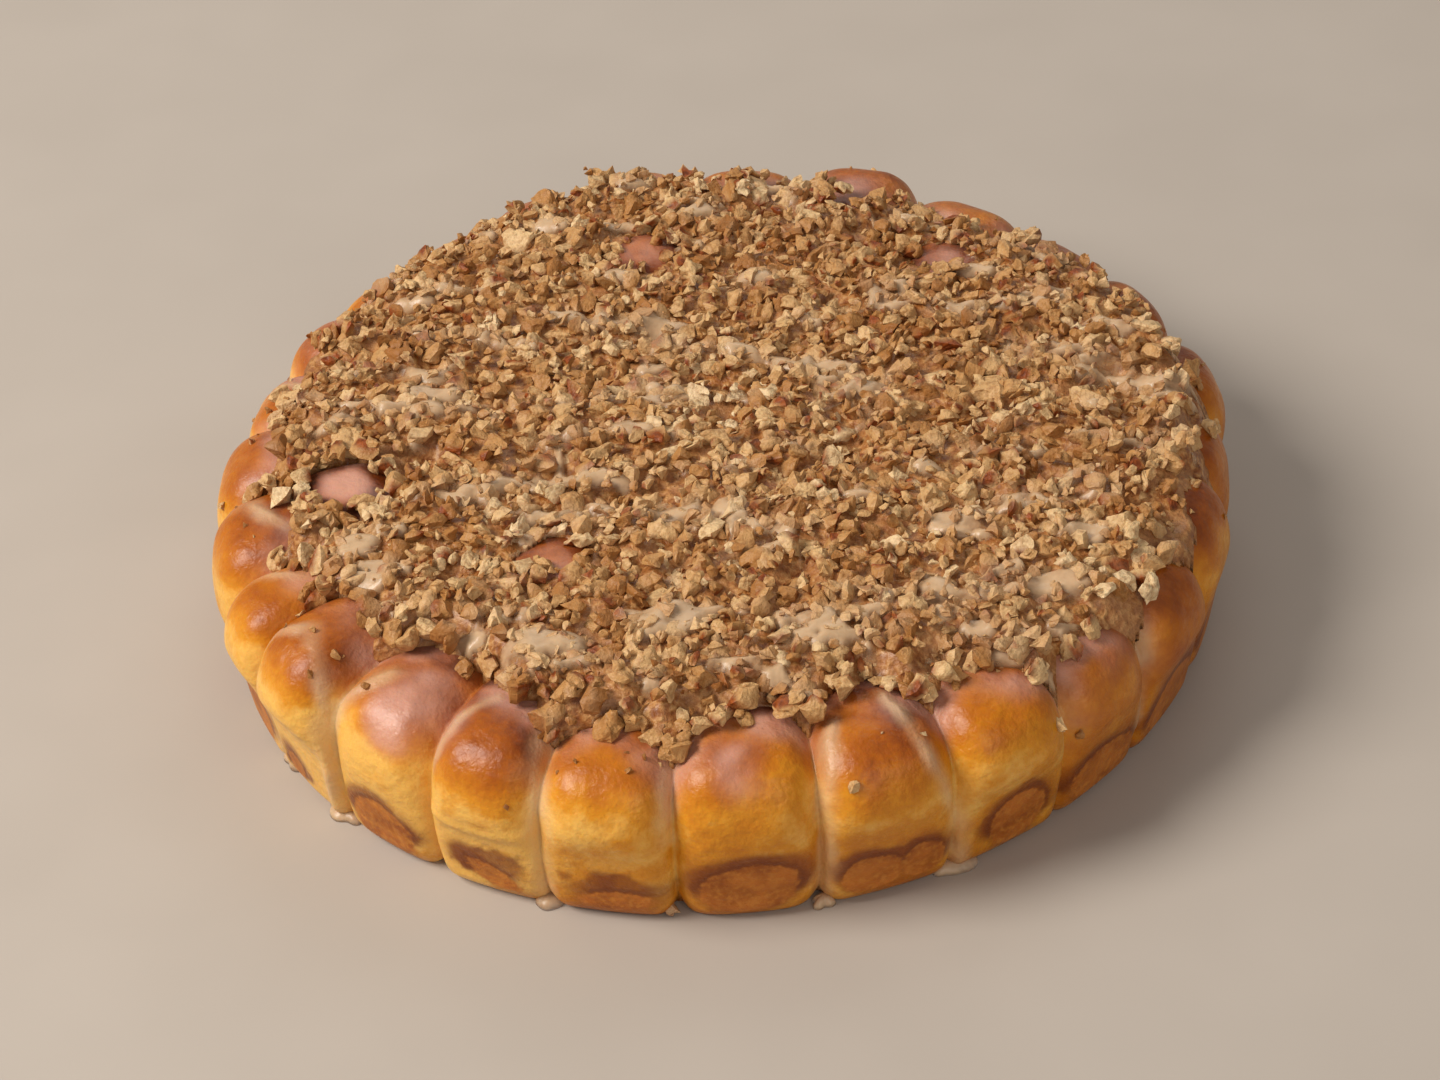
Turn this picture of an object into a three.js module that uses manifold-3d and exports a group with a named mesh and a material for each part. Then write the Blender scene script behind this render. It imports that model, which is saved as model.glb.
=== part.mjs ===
// A pecan honeycomb bread: a round pull-apart loaf of small buns, baked together in a low pan, with a layer of
// milky glaze and chopped pecans over its top. Millimetres, +Z up, the origin at the centre of the flat base.
// The -Y side is the front. The buns of the edge bulge out between deep creases, and each one keeps the flat
// oval mark of the pan's wall near its foot.
import * as THREE from "three";
import { mergeVertices } from "three/addons/utils/BufferGeometryUtils.js";
import Module from "manifold-3d";

const wasm = await Module();
wasm.setup();

// The loaf
const LOAF_RADIUS = 139; // to the bulge of an ordinary edge bun, before the oval stretch
const LOAF_HEIGHT = 49.5; // to the top of an ordinary bun
const CROWN = 2.5; // how much higher the buns stand at the middle
const OVAL_STRETCH = 0.025; // the loaf is this much longer along its long axis, and shorter across it
const OVAL_AZIMUTH = 62; // degrees, the direction of the long axis

// A bun is a superellipsoid, pressed flat where it meets its neighbours
const PLAN_POWER = 3;
const RISE_POWER = 2.9; // above its widest level
const DROP_POWER = 2.8; // below it
const BUN_MIDDLE = 24; // height of its widest level
const BUN_DROP = 34; // from there down to the foot of the full form, which the base cuts off
const EDGE_BUN_DEPTH = 23; // semi-axis along the loaf's radius
const EDGE_BUN_CENTRE = LOAF_RADIUS - EDGE_BUN_DEPTH;
const ACROSS_SHARE = 1.2; // semi-axis across it, in half spans

// The buns of the edge, anticlockwise from the crease just left of the front: the span of each, in degrees
const FIRST_CREASE = 264.5;
const EDGE_SPANS = [
  16, 14.5, 13.5, 13.5, 13.5, 14.5, 13.5, 15, 14, 15, 16.5, 15, 16,
  13, 13, 12.5, 13.5, 12, 13, 14.5, 14, 10.5, 12, 14.5, 13, 14,
];

// How far each one bulges beyond the loaf's radius, or stops short of it
const EDGE_REACH = [
  -2.5, 0.5, 2.5, 0, 1.5, -1.5, -2.5, 1, -2.5, -2, -0.5, 2, -0.5,
  3, 4, -1, -2, -4, -4.5, -3, -1, 2, 3, -2, 0.5, 0,
];

// The buns inside them, in rings round one at the middle
const INNER_RINGS = [
  { radius: 88, count: 18, phase: 6 },
  { radius: 59, count: 12, phase: 14 },
  { radius: 30, count: 6, phase: 20 },
  { radius: 0, count: 1, phase: 0 },
];
const INNER_BUN_RADIUS = 19;
// These buns stand proud, so that their glazed tops show between the pecans
const PROUD_BUNS = [
  { radius: 84, azimuth: 106, bare: 8 },
  { radius: 100, azimuth: 192, bare: 8 },
  { radius: 70, azimuth: 233, bare: 8 },
  { radius: 93, azimuth: 48, bare: 7 },
];
const PROUD_RISE = 2.5;
const PROUD_ROOM = 20; // ring buns nearer than this to a proud one are left out
// Tops of edge buns that carry no pecans
const BARE_EDGES = [
  { radius: 125, azimuth: 234, bare: 17 },
  { radius: 126, azimuth: 272, bare: 9 },
  { radius: 119, azimuth: 290, bare: 8 },
  { radius: 124, azimuth: 48, bare: 9 },
  { radius: 119, azimuth: 71, bare: 9 },
];
// The dough has run together inside the creases
const CORE_RADIUS = 126;
const CORE_HEIGHT = 36;

// The pan: its corner is rounded, its wall leans out a little, and the buns swell over its rim
const PAN_RADIUS = 132.5; // of the wall, carried down to the base
const PAN_LEAN = 0.15; // millimetres out for each one up
const PAN_CORNER_HEIGHT = 5;
const PAN_CORNER_DEPTH = 3; // how far the rounded corner lies inside the wall at the base
const PAN_RIM = 21;
const SWELL_OVER_RIM = 0.05; // how fast the buns' room widens above the rim, per millimetre squared

// The topping. Over the domes of the edge it ends at these radii: [azimuth in degrees, radius]
const TOPPING_ENDS = [
  [0, 128], [12, 126], [40, 123], [55, 119], [70, 113], [85, 120], [112, 127], [138, 122], [165, 120], [191, 117],
  [216, 113], [233, 107], [245, 116], [259, 120], [274, 113], [291, 110], [303, 123], [318, 131], [340, 129], [360, 128],
];
const FURTHER_IN_CREASES = 8;
const EDGE_RISE = 20; // about how high its edge lies over the ring that the rays fan out from
const LEAST_EDGE_RISE = 47; // degrees, of the rays to its edge
const GREATEST_EDGE_RISE = 80;
const GAP = 0.45; // between the loaf and the glaze, along the rays below
const GLAZE_THIN = 1.3;
const GLAZE_LEVEL = LOAF_HEIGHT - 3; // the level that glaze and crumbs fill up to between the domes
const GLAZE_ROUGHNESS = 0.9;
const CREASE_FILL = 3;
const PECAN_COUNT = 152;
const PECAN_LENGTH = [7, 11];
const PECAN_WIDTH_SHARE = [0.55, 0.85];
const PECAN_THICKNESS_SHARE = [0.4, 0.62];
const PECAN_MARGIN = 5; // how far inside the topping's edge the outermost ones lie
const PECAN_STRAY = 2.5; // how far a piece may lie from its place on the spiral
const PECAN_TILT = 0.5;
const PECAN_SINK = 0.6; // depth of a pecan's middle below the glaze's top
const PECAN_CLEARANCE = 0.4; // least height of a pecan's lowest corner over the glaze's underside
const PECAN_LIFT = 0.3; // step by which a pecan is raised until it is clear of the loaf
const GOLDEN_ANGLE = Math.PI * (3 - Math.sqrt(5));

// The mesh of the loaf: rays fan out from a ring of points inside it, and run straight up inside that ring
const FAN_RADIUS = 112;
const FAN_HEIGHT = 25;
const RAY_LENGTH = 60; // longer than from any ray's start to the loaf's surface
const RAY_STEP = 1;
const RAY_HALVINGS = 16;
const BUN_REACH = 36; // no bun reaches further than this from its centre in plan
const CREASE_STEPS = [-1, -0.78, -0.4, 0, 0.4, 0.78]; // where the columns cross each bun, 1 at its crease
const SIDE_ANGLES = [-50, -38, -24, -10, 3, 17, 30, 42]; // degrees of each ray over the horizon
const SHOULDER_STEPS = [0, 0.5, 1]; // from the edge of the topping to straight up
const TOP_RINGS = [
  [103, 78], [93, 70], [83, 65], [73, 58], [63, 52], [53, 39], [43, 34], [33, 26], [22, 16], [11, 8],
]; // radius, and how many points

const radians = THREE.MathUtils.degToRad;

// A fixed sequence of random numbers, each drawn between two limits
function sequence(seed) {
  let state = seed;
  return (low, high) => {
    state = (state * 16807) % 2147483647;
    return low + (state / 2147483647) * (high - low);
  };
}

function edgeBuns() {
  const draw = sequence(20240);
  const buns = [];
  let crease = FIRST_CREASE;
  for (const [i, span] of EDGE_SPANS.entries()) {
    const halfSpan = radians(span / 2);
    const radius = EDGE_BUN_CENTRE + EDGE_REACH[i];
    buns.push({
      azimuth: radians(crease) + halfSpan,
      halfSpan,
      radius,
      depth: EDGE_BUN_DEPTH,
      across: ACROSS_SHARE * radius * Math.tan(halfSpan) + 1,
      rise: LOAF_HEIGHT - BUN_MIDDLE + draw(-2.5, 1.5),
    });
    crease += span;
  }
  return buns;
}

function innerBun(radius, azimuth, extraRise) {
  const crown = CROWN * (1 - (radius / LOAF_RADIUS) ** 2);
  return {
    azimuth,
    radius,
    depth: INNER_BUN_RADIUS,
    across: INNER_BUN_RADIUS,
    rise: LOAF_HEIGHT - BUN_MIDDLE + crown + extraRise,
  };
}

function innerBuns() {
  const draw = sequence(47110);
  const proud = PROUD_BUNS.map((bun) => innerBun(bun.radius, radians(bun.azimuth), PROUD_RISE));
  const buns = [];
  for (const ring of INNER_RINGS) {
    for (let i = 0; i < ring.count; i++) {
      const azimuth = radians(ring.phase + (360 * i) / ring.count + draw(-2.5, 2.5));
      const bun = innerBun(ring.radius + draw(-2.5, 2.5), azimuth, draw(-1.5, 1));
      const crowded = proud.some((other) => centreOf(bun).distanceTo(centreOf(other)) < PROUD_ROOM);
      if (!crowded) buns.push(bun);
    }
  }
  return buns.concat(proud);
}

function centreOf(bun) {
  return new THREE.Vector2(bun.radius * Math.cos(bun.azimuth), bun.radius * Math.sin(bun.azimuth));
}

const EDGE = edgeBuns();
const BUNS = EDGE.concat(innerBuns()).map((bun) => ({
  ...bun,
  centre: centreOf(bun),
  cos: Math.cos(bun.azimuth),
  sin: Math.sin(bun.azimuth),
}));

// Under 1 inside the bun
function bunLevel(bun, point) {
  const x = point.x - bun.centre.x;
  const y = point.y - bun.centre.y;
  const z = point.z - BUN_MIDDLE;
  const power = z > 0 ? RISE_POWER : DROP_POWER;
  const outward = Math.abs(x * bun.cos + y * bun.sin) / bun.depth;
  const sideways = Math.abs(y * bun.cos - x * bun.sin) / bun.across;
  const height = Math.abs(z) / (z > 0 ? bun.rise : BUN_DROP);
  const plan = outward ** PLAN_POWER + sideways ** PLAN_POWER;
  return plan ** (power / PLAN_POWER) + height ** power;
}

// Under 1 inside the pan's wall and the room above its rim
function panLevel(point) {
  const overRim = Math.max(0, point.z - PAN_RIM);
  const corner = PAN_CORNER_DEPTH * Math.max(0, 1 - point.z / PAN_CORNER_HEIGHT) ** 2;
  const wall = PAN_RADIUS + PAN_LEAN * point.z - corner + SWELL_OVER_RIM * overRim ** 2;
  return Math.hypot(point.x, point.y) / wall;
}

function insideCore(point) {
  return point.z < CORE_HEIGHT && Math.hypot(point.x, point.y) < CORE_RADIUS;
}

function insideLoaf(point) {
  if (panLevel(point) > 1) return false;
  if (insideCore(point)) return true;
  return BUNS.some(
    (bun) =>
      Math.abs(point.x - bun.centre.x) < BUN_REACH &&
      Math.abs(point.y - bun.centre.y) < BUN_REACH &&
      bunLevel(bun, point) < 1,
  );
}

// How far along the ray the loaf's surface lies: steps inwards to the loaf, then closes in on its surface
function distanceToSurface(ray) {
  const point = new THREE.Vector3();
  let outside = RAY_LENGTH;
  let inside = RAY_LENGTH;
  while (inside > 0 && !insideLoaf(ray.at(inside, point))) {
    outside = inside;
    inside -= RAY_STEP;
  }
  for (let i = 0; i < RAY_HALVINGS; i++) {
    const middle = (inside + outside) / 2;
    if (insideLoaf(ray.at(middle, point))) inside = middle;
    else outside = middle;
  }
  return inside;
}

function fanRay(azimuth, elevation) {
  const out = new THREE.Vector3(Math.cos(azimuth), Math.sin(azimuth), 0);
  const origin = out.clone().multiplyScalar(FAN_RADIUS).setZ(FAN_HEIGHT);
  const direction = out.multiplyScalar(Math.cos(elevation)).setZ(Math.sin(elevation));
  return new THREE.Ray(origin, direction);
}

function upwardRay(x, y) {
  return new THREE.Ray(new THREE.Vector3(x, y, FAN_HEIGHT), new THREE.Vector3(0, 0, 1));
}

// The columns of the side: their azimuth, and where they cross their bun
function sideColumns() {
  return EDGE.flatMap((bun) =>
    CREASE_STEPS.map((across) => ({ azimuth: bun.azimuth + across * bun.halfSpan, across, bun })),
  );
}

const COLUMNS = sideColumns();

// The radius where the topping ends over the domes at an azimuth
function toppingEnd(azimuth) {
  const turn = THREE.MathUtils.euclideanModulo(THREE.MathUtils.radToDeg(azimuth), 360);
  const next = TOPPING_ENDS.findIndex(([place]) => place > turn);
  const [place, radius] = TOPPING_ENDS[next - 1];
  const [nextPlace, nextRadius] = TOPPING_ENDS[next];
  return THREE.MathUtils.mapLinear(turn, place, nextPlace, radius, nextRadius);
}

// The elevation of the ray that meets the topping's edge: low in the creases, high over the bare domes
function toppingEdge(column, index) {
  const crease = Math.abs(column.across) ** 3;
  const wander = 1.5 * Math.sin(index * 0.9) + Math.sin(index * 0.37 + 1);
  const radius = toppingEnd(column.azimuth) + FURTHER_IN_CREASES * crease + wander;
  const elevation = THREE.MathUtils.radToDeg(Math.atan2(EDGE_RISE, radius - FAN_RADIUS));
  return radians(THREE.MathUtils.clamp(elevation, LEAST_EDGE_RISE, GREATEST_EDGE_RISE));
}

// The rings of surface points, from the base up to the middle of the top. Each point keeps its ray.
function loafRings() {
  const rings = [];
  rings.push(
    COLUMNS.map(({ azimuth }) => {
      const ray = fanRay(azimuth, 0);
      ray.origin.setZ(0);
      return surfacePoint(azimuth, ray);
    }),
  );
  for (const elevation of SIDE_ANGLES) {
    rings.push(
      COLUMNS.map(({ azimuth }) => surfacePoint(azimuth, fanRay(azimuth, radians(elevation)))),
    );
  }
  for (const step of SHOULDER_STEPS) {
    rings.push(
      COLUMNS.map((column, index) => {
        const elevation = THREE.MathUtils.lerp(toppingEdge(column, index), Math.PI / 2, step);
        const point = surfacePoint(column.azimuth, fanRay(column.azimuth, elevation));
        const fill = CREASE_FILL * Math.abs(column.across) ** 3 * step;
        return { ...point, fill };
      }),
    );
  }
  for (const [radius, count] of TOP_RINGS) {
    const ring = [];
    for (let i = 0; i < count; i++) {
      const azimuth = COLUMNS[0].azimuth + (2 * Math.PI * i) / count;
      const ray = upwardRay(radius * Math.cos(azimuth), radius * Math.sin(azimuth));
      ring.push(surfacePoint(azimuth, ray));
    }
    rings.push(ring);
  }
  rings.push([surfacePoint(0, upwardRay(0, 0))]);
  return rings;
}

function surfacePoint(azimuth, ray) {
  return { azimuth, ray, distance: distanceToSurface(ray) };
}

const RINGS = loafRings();
const FIRST_TOPPED = 1 + SIDE_ANGLES.length; // the ring at the topping's edge

// The whole loaf is stretched a little along its long axis
function stretched(point) {
  const axis = new THREE.Vector3(Math.cos(radians(OVAL_AZIMUTH)), Math.sin(radians(OVAL_AZIMUTH)), 0);
  const along = point.dot(axis);
  const flat = new THREE.Vector3(point.x, point.y, 0);
  const across = flat.addScaledVector(axis, -along);
  return axis
    .multiplyScalar(along * (1 + OVAL_STRETCH))
    .addScaledVector(across, 1 - OVAL_STRETCH)
    .setZ(point.z);
}

// The azimuth of a ring's point, which goes on growing past a full turn
function turned(ring, i) {
  return ring[i % ring.length].azimuth + 2 * Math.PI * Math.floor(i / ring.length);
}

// Adds the triangles between two rings of points, going round both at the same pace.
// The two start at the same azimuth and may differ in number. The inner one may be a single point.
function stitch(triangles, outer, inner) {
  const innerSteps = inner.length > 1 ? inner.length : 0;
  let i = 0;
  let j = 0;
  while (i < outer.length || j < innerSteps) {
    const a = outer[i % outer.length].index;
    const b = inner[j % inner.length].index;
    const outerTurn = i < outer.length ? turned(outer, i + 1) : Infinity;
    const innerTurn = j < innerSteps ? turned(inner, j + 1) : Infinity;
    if (outerTurn <= innerTurn) {
      i++;
      triangles.push(a, outer[i % outer.length].index, b);
    } else {
      j++;
      triangles.push(a, inner[j % inner.length].index, b);
    }
  }
}

// Numbers the points of each ring and keeps their places in one list
function numbered(rings, place, positions) {
  return rings.map((ring) =>
    ring.map((item) => {
      positions.push(...place(item).toArray());
      return { azimuth: item.azimuth, index: positions.length / 3 - 1 };
    }),
  );
}

function stitchAll(triangles, rings) {
  for (let i = 1; i < rings.length; i++) stitch(triangles, rings[i - 1], rings[i]);
}

function geometryOf(positions, triangles) {
  const geometry = new THREE.BufferGeometry();
  geometry.setAttribute("position", new THREE.Float32BufferAttribute(positions, 3));
  geometry.setIndex(triangles);
  geometry.computeVertexNormals();
  return geometry;
}

// The loaf itself, or the loaf swollen by a margin
function loafGeometry(margin = 0) {
  const positions = [];
  const triangles = [];
  const place = ({ ray, distance }) => stretched(ray.at(distance + margin, new THREE.Vector3()));
  const rings = numbered(RINGS, place, positions);
  stitchAll(triangles, rings);
  positions.push(0, 0, 0);
  const centre = positions.length / 3 - 1;
  const base = rings[0];
  base.forEach((corner, i) => triangles.push(corner.index, centre, base[(i + 1) % base.length].index));
  return geometryOf(positions, triangles);
}

// The height of the glaze's top where the loaf's surface is at a height: it fills the dips between the domes
function glazeTop(x, y, floor) {
  const level = GLAZE_LEVEL + CROWN * (1 - (Math.hypot(x, y) / LOAF_RADIUS) ** 2);
  return Math.max(floor + GAP + GLAZE_THIN, level);
}

function glazeThickness({ ray, distance, fill }, draw) {
  if (fill !== undefined) return GLAZE_THIN + fill;
  const floor = FAN_HEIGHT + distance;
  const top = glazeTop(ray.origin.x, ray.origin.y, floor);
  return top - floor - GAP + draw(0, GLAZE_ROUGHNESS);
}

function glazeGeometry() {
  const positions = [];
  const triangles = [];
  const topped = RINGS.slice(FIRST_TOPPED);
  const draw = sequence(99173);
  const under = (item) => stretched(item.ray.at(item.distance + GAP, new THREE.Vector3()));
  const over = (item) =>
    stretched(item.ray.at(item.distance + GAP + glazeThickness(item, draw), new THREE.Vector3()));
  const lower = numbered(topped, under, positions);
  const upper = numbered(topped, over, positions);
  const facingDown = [];
  stitchAll(facingDown, lower);
  for (let i = 0; i < facingDown.length; i += 3) {
    triangles.push(facingDown[i], facingDown[i + 2], facingDown[i + 1]);
  }
  stitch(triangles, lower[0], upper[0]);
  stitchAll(triangles, upper);
  return geometryOf(positions, triangles);
}

// An icosahedron with each corner moved in or out, stretched to the sizes of a broken kernel
function pecanGeometry({ length, width, thickness }, draw) {
  const geometry = new THREE.IcosahedronGeometry(0.5, 0);
  geometry.deleteAttribute("normal");
  geometry.deleteAttribute("uv");
  const kernel = mergeVertices(geometry);
  const corners = kernel.getAttribute("position");
  for (let i = 0; i < corners.count; i++) {
    const reach = draw(0.8, 1.12);
    corners.setXYZ(i, corners.getX(i) * reach, corners.getY(i) * reach, corners.getZ(i) * reach);
  }
  kernel.scale(length, width, thickness);
  return kernel;
}

// The reach of the topping at an azimuth: the pecans stay a little inside it
function toppingReach(azimuth) {
  const edge = RINGS[FIRST_TOPPED];
  const turn = (angle) => Math.cos(angle - azimuth);
  const nearest = COLUMNS.reduce((best, column, i) =>
    turn(column.azimuth) > turn(COLUMNS[best].azimuth) ? i : best, 0);
  const point = edge[nearest].ray.at(edge[nearest].distance, new THREE.Vector3());
  return Math.hypot(point.x, point.y);
}

function onBareDome(x, y) {
  return [...PROUD_BUNS, ...BARE_EDGES].some(({ radius, azimuth, bare }) => {
    const centre = centreOf({ radius, azimuth: radians(azimuth) });
    return centre.distanceTo(new THREE.Vector2(x, y)) < bare;
  });
}

function loafHeight(x, y) {
  return FAN_HEIGHT + distanceToSurface(upwardRay(x, y));
}

// A pecan lies half sunk in the glaze at a point of the top, or higher where the loaf is in its way
function layPecan(kernel, { x, y, roll, pitch, turn }) {
  kernel.rotateX(roll);
  kernel.rotateY(pitch);
  kernel.rotateZ(turn);
  kernel.translate(x, y, 0);
  const corners = kernel.getAttribute("position");
  let lift = glazeTop(x, y, loafHeight(x, y)) - PECAN_SINK;
  for (let i = 0; i < corners.count; i++) {
    const floor = loafHeight(corners.getX(i), corners.getY(i));
    lift = Math.max(lift, floor + GAP + PECAN_CLEARANCE - corners.getZ(i));
  }
  kernel.translate(0, 0, lift);
  for (let i = 0; i < corners.count; i++) {
    const corner = stretched(new THREE.Vector3().fromBufferAttribute(corners, i));
    corners.setXYZ(i, corner.x, corner.y, corner.z);
  }
  return kernel;
}

// Where the large pecans lie and their sizes: an even spiral from the middle to the topping's edge
function pecanPlaces() {
  const draw = sequence(31415);
  const places = [];
  for (let i = 0; i < PECAN_COUNT; i++) {
    const azimuth = i * GOLDEN_ANGLE;
    const radius = (toppingReach(azimuth) - PECAN_MARGIN) * Math.sqrt((i + 0.5) / PECAN_COUNT);
    const length = draw(...PECAN_LENGTH);
    places.push({
      length,
      width: length * draw(...PECAN_WIDTH_SHARE),
      thickness: length * draw(...PECAN_THICKNESS_SHARE),
      x: radius * Math.cos(azimuth) + draw(-PECAN_STRAY, PECAN_STRAY),
      y: radius * Math.sin(azimuth) + draw(-PECAN_STRAY, PECAN_STRAY),
      roll: draw(-PECAN_TILT, PECAN_TILT),
      pitch: draw(-PECAN_TILT, PECAN_TILT),
      turn: draw(0, 2 * Math.PI),
    });
  }
  return places.filter(({ x, y }) => !onBareDome(x, y));
}

function pecanPieces() {
  const draw = sequence(50773);
  return pecanPlaces().map((place) => layPecan(pecanGeometry(place, draw), place));
}

function solidOf(geometry) {
  const bare = geometry.clone();
  bare.deleteAttribute("normal");
  const merged = mergeVertices(bare, 1e-4);
  return new wasm.Manifold(
    new wasm.Mesh({
      numProp: 3,
      vertProperties: merged.getAttribute("position").array,
      triVerts: new Uint32Array(merged.index.array),
    }),
  );
}

function geometryOfSolid(solid) {
  const mesh = solid.getMesh();
  const positions = [];
  for (let i = 0; i < mesh.numVert; i++) {
    positions.push(...mesh.vertProperties.subarray(i * mesh.numProp, i * mesh.numProp + 3));
  }
  return geometryOf(positions, [...mesh.triVerts]);
}

function raisedClear(piece, obstacle) {
  let raised = piece;
  while (raised.intersect(obstacle).volume() > 0) raised = raised.translate([0, 0, PECAN_LIFT]);
  return raised;
}

// The pecans are stuck in the glaze, so the topping is one solid. A piece that doesn't reach it is left out.
function toppingGeometry() {
  const glaze = solidOf(glazeGeometry());
  const loafAndGap = solidOf(loafGeometry(GAP));
  const pieces = pecanPieces().map((piece) => raisedClear(solidOf(piece), loafAndGap));
  const stuck = pieces.filter((piece) => piece.intersect(glaze).volume() > 1);
  return geometryOfSolid(wasm.Manifold.union([glaze, ...stuck]));
}

function material(color, roughness) {
  return new THREE.MeshStandardMaterial({ color, roughness, metalness: 0 });
}

const bread = new THREE.Mesh(loafGeometry(), material(0xc77f2a, 0.42));
bread.name = "bread";

const topping = new THREE.Mesh(toppingGeometry(), material(0xa5794e, 0.6));
topping.name = "pecan_topping";

// The group is moved so that the middle of its box stands over the origin
const loaf = new THREE.Group();
loaf.add(bread, topping);
const box = new THREE.Box3().setFromObject(loaf, true);
const middle = box.getCenter(new THREE.Vector3());
loaf.position.set(-middle.x, -middle.y, 0);

export default loaf;
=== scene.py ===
"""The looks of a pecan honeycomb bread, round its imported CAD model: crust, milky glaze and chopped pecans.

The loaf's form is worked out here again, finely, from the same named sizes as the CAD model. Shapes are in
millimetres until they become meshes. The -Y side is the front, and azimuths go anticlockwise from +X.
"""
import collections
import itertools
import math

import bmesh
import bpy
import numpy as np
from mathutils import Euler, Matrix, Vector


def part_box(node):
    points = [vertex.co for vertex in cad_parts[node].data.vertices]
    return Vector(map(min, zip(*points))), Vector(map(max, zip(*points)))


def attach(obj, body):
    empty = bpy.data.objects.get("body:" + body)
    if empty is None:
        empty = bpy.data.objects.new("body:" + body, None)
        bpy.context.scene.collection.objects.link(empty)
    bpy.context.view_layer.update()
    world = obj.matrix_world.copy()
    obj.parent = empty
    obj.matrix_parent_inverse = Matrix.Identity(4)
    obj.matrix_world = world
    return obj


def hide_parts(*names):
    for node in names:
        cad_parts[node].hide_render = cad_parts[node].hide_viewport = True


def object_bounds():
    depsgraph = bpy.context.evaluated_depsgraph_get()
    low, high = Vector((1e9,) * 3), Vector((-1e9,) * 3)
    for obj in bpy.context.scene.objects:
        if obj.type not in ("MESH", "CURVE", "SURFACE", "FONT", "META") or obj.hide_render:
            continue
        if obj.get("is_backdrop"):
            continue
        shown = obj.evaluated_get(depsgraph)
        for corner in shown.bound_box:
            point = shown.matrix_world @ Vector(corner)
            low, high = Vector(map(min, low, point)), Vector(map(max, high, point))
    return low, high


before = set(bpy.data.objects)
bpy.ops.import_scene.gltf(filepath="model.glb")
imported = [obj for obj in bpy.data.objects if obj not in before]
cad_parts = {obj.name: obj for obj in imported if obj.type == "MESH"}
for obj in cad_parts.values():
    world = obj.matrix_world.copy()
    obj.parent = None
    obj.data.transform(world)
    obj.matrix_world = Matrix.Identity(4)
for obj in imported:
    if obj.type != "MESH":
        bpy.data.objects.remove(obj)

CAD_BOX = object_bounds()
MM = 0.001
TINY = 1e-6

# The loaf, as in the CAD model
LOAF_RADIUS = 139.0
LOAF_HEIGHT = 49.5
CROWN = 2.5
OVAL_STRETCH = 0.025
OVAL_AZIMUTH = 62.0

# A bun is a superellipsoid
PLAN_POWER = 3.0
RISE_POWER = 2.9
DROP_POWER = 2.8
BUN_MIDDLE = 24.0
BUN_DROP = 34.0
EDGE_BUN_DEPTH = 23.0
EDGE_BUN_CENTRE = LOAF_RADIUS - EDGE_BUN_DEPTH
ACROSS_SHARE = 1.2
ACROSS_EXTRA = 1.0
EDGE_SEED = 20240
EDGE_RISES = (-2.5, 1.5)
FIRST_CREASE = 264.5
EDGE_SPANS = (
    16, 14.5, 13.5, 13.5, 13.5, 14.5, 13.5, 15, 14, 15, 16.5, 15, 16,
    13, 13, 12.5, 13.5, 12, 13, 14.5, 14, 10.5, 12, 14.5, 13, 14,
)
EDGE_REACH = (
    -2.5, 0.5, 2.5, 0, 1.5, -1.5, -2.5, 1, -2.5, -2, -0.5, 2, -0.5,
    3, 4, -1, -2, -4, -4.5, -3, -1, 2, 3, -2, 0.5, 0,
)
INNER_RINGS = ((88, 18, 6), (59, 12, 14), (30, 6, 20), (0, 1, 0))  # radius, count, phase
INNER_SEED = 47110
INNER_STRAY = 2.5
INNER_RISES = (-1.5, 1.0)
INNER_BUN_RADIUS = 19.0
PROUD_BUNS = ((84, 106, 8), (100, 192, 8), (70, 233, 8), (93, 48, 7))  # radius, azimuth, bare radius
PROUD_RISE = 2.5
PROUD_ROOM = 20.0
BARE_EDGES = ((125, 234, 17), (126, 272, 9), (119, 290, 8), (124, 48, 9), (119, 71, 9))
CORE_RADIUS = 126.0
CORE_HEIGHT = 36.0

# The pan
PAN_RADIUS = 132.5
PAN_LEAN = 0.15
PAN_CORNER_HEIGHT = 5.0
PAN_CORNER_DEPTH = 3.0
PAN_RIM = 21.0
SWELL_OVER_RIM = 0.05

# The rays that find the surface: they fan out from a ring inside the loaf, and run straight up inside it
FAN_RADIUS = 112.0
FAN_HEIGHT = 25.0
RAY_LENGTH = 60.0
RAY_STEP = 2.0
RAY_HALVINGS = 14
PRESS_BLEND = 3.5  # over this distance the free dough goes over into the part that the pan holds in

# The topping. Over the domes of the edge it ends at these radii: azimuth, radius
TOPPING_ENDS = (
    (0, 128), (12, 126), (40, 123), (55, 119), (70, 113), (85, 120), (112, 127), (138, 122), (165, 120),
    (191, 117), (216, 113), (233, 107), (245, 116), (259, 120), (274, 113), (291, 110), (303, 123),
    (318, 131), (340, 129), (360, 128),
)
FURTHER_IN_CREASES = 8.0
GLAZE_LEVEL = LOAF_HEIGHT - 3
PECAN_COUNT = 152
PECAN_MARGIN = 5.0
PECAN_LENGTH = (7, 11)
PECAN_WIDTH_SHARE = (0.55, 0.85)
PECAN_THICKNESS_SHARE = (0.4, 0.62)
PECAN_STRAY = 2.5
PECAN_TILT = 0.5
PECAN_SEED = 31415
PECAN_COVER = 1.0  # a piece is laid where the pecans' outline is at least this far away
GOLDEN_ANGLE = math.pi * (3 - math.sqrt(5))

# Factors of the random numbers
SEQUENCE_FACTOR, SEQUENCE_SIZE = 16807, 2147483647
LATTICE_FACTORS = np.array((374761393, 668265263, 1442695041))
SEED_FACTOR, MIX_FACTOR = 97531, 1274126177
HIGHEST_HASH = 0xFFFFFF


def sequence(seed):
    """The CAD model's own fixed sequence of random numbers."""
    state = seed

    def draw(low, high):
        nonlocal state
        state = state * SEQUENCE_FACTOR % SEQUENCE_SIZE
        return low + state / SEQUENCE_SIZE * (high - low)

    return draw


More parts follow.
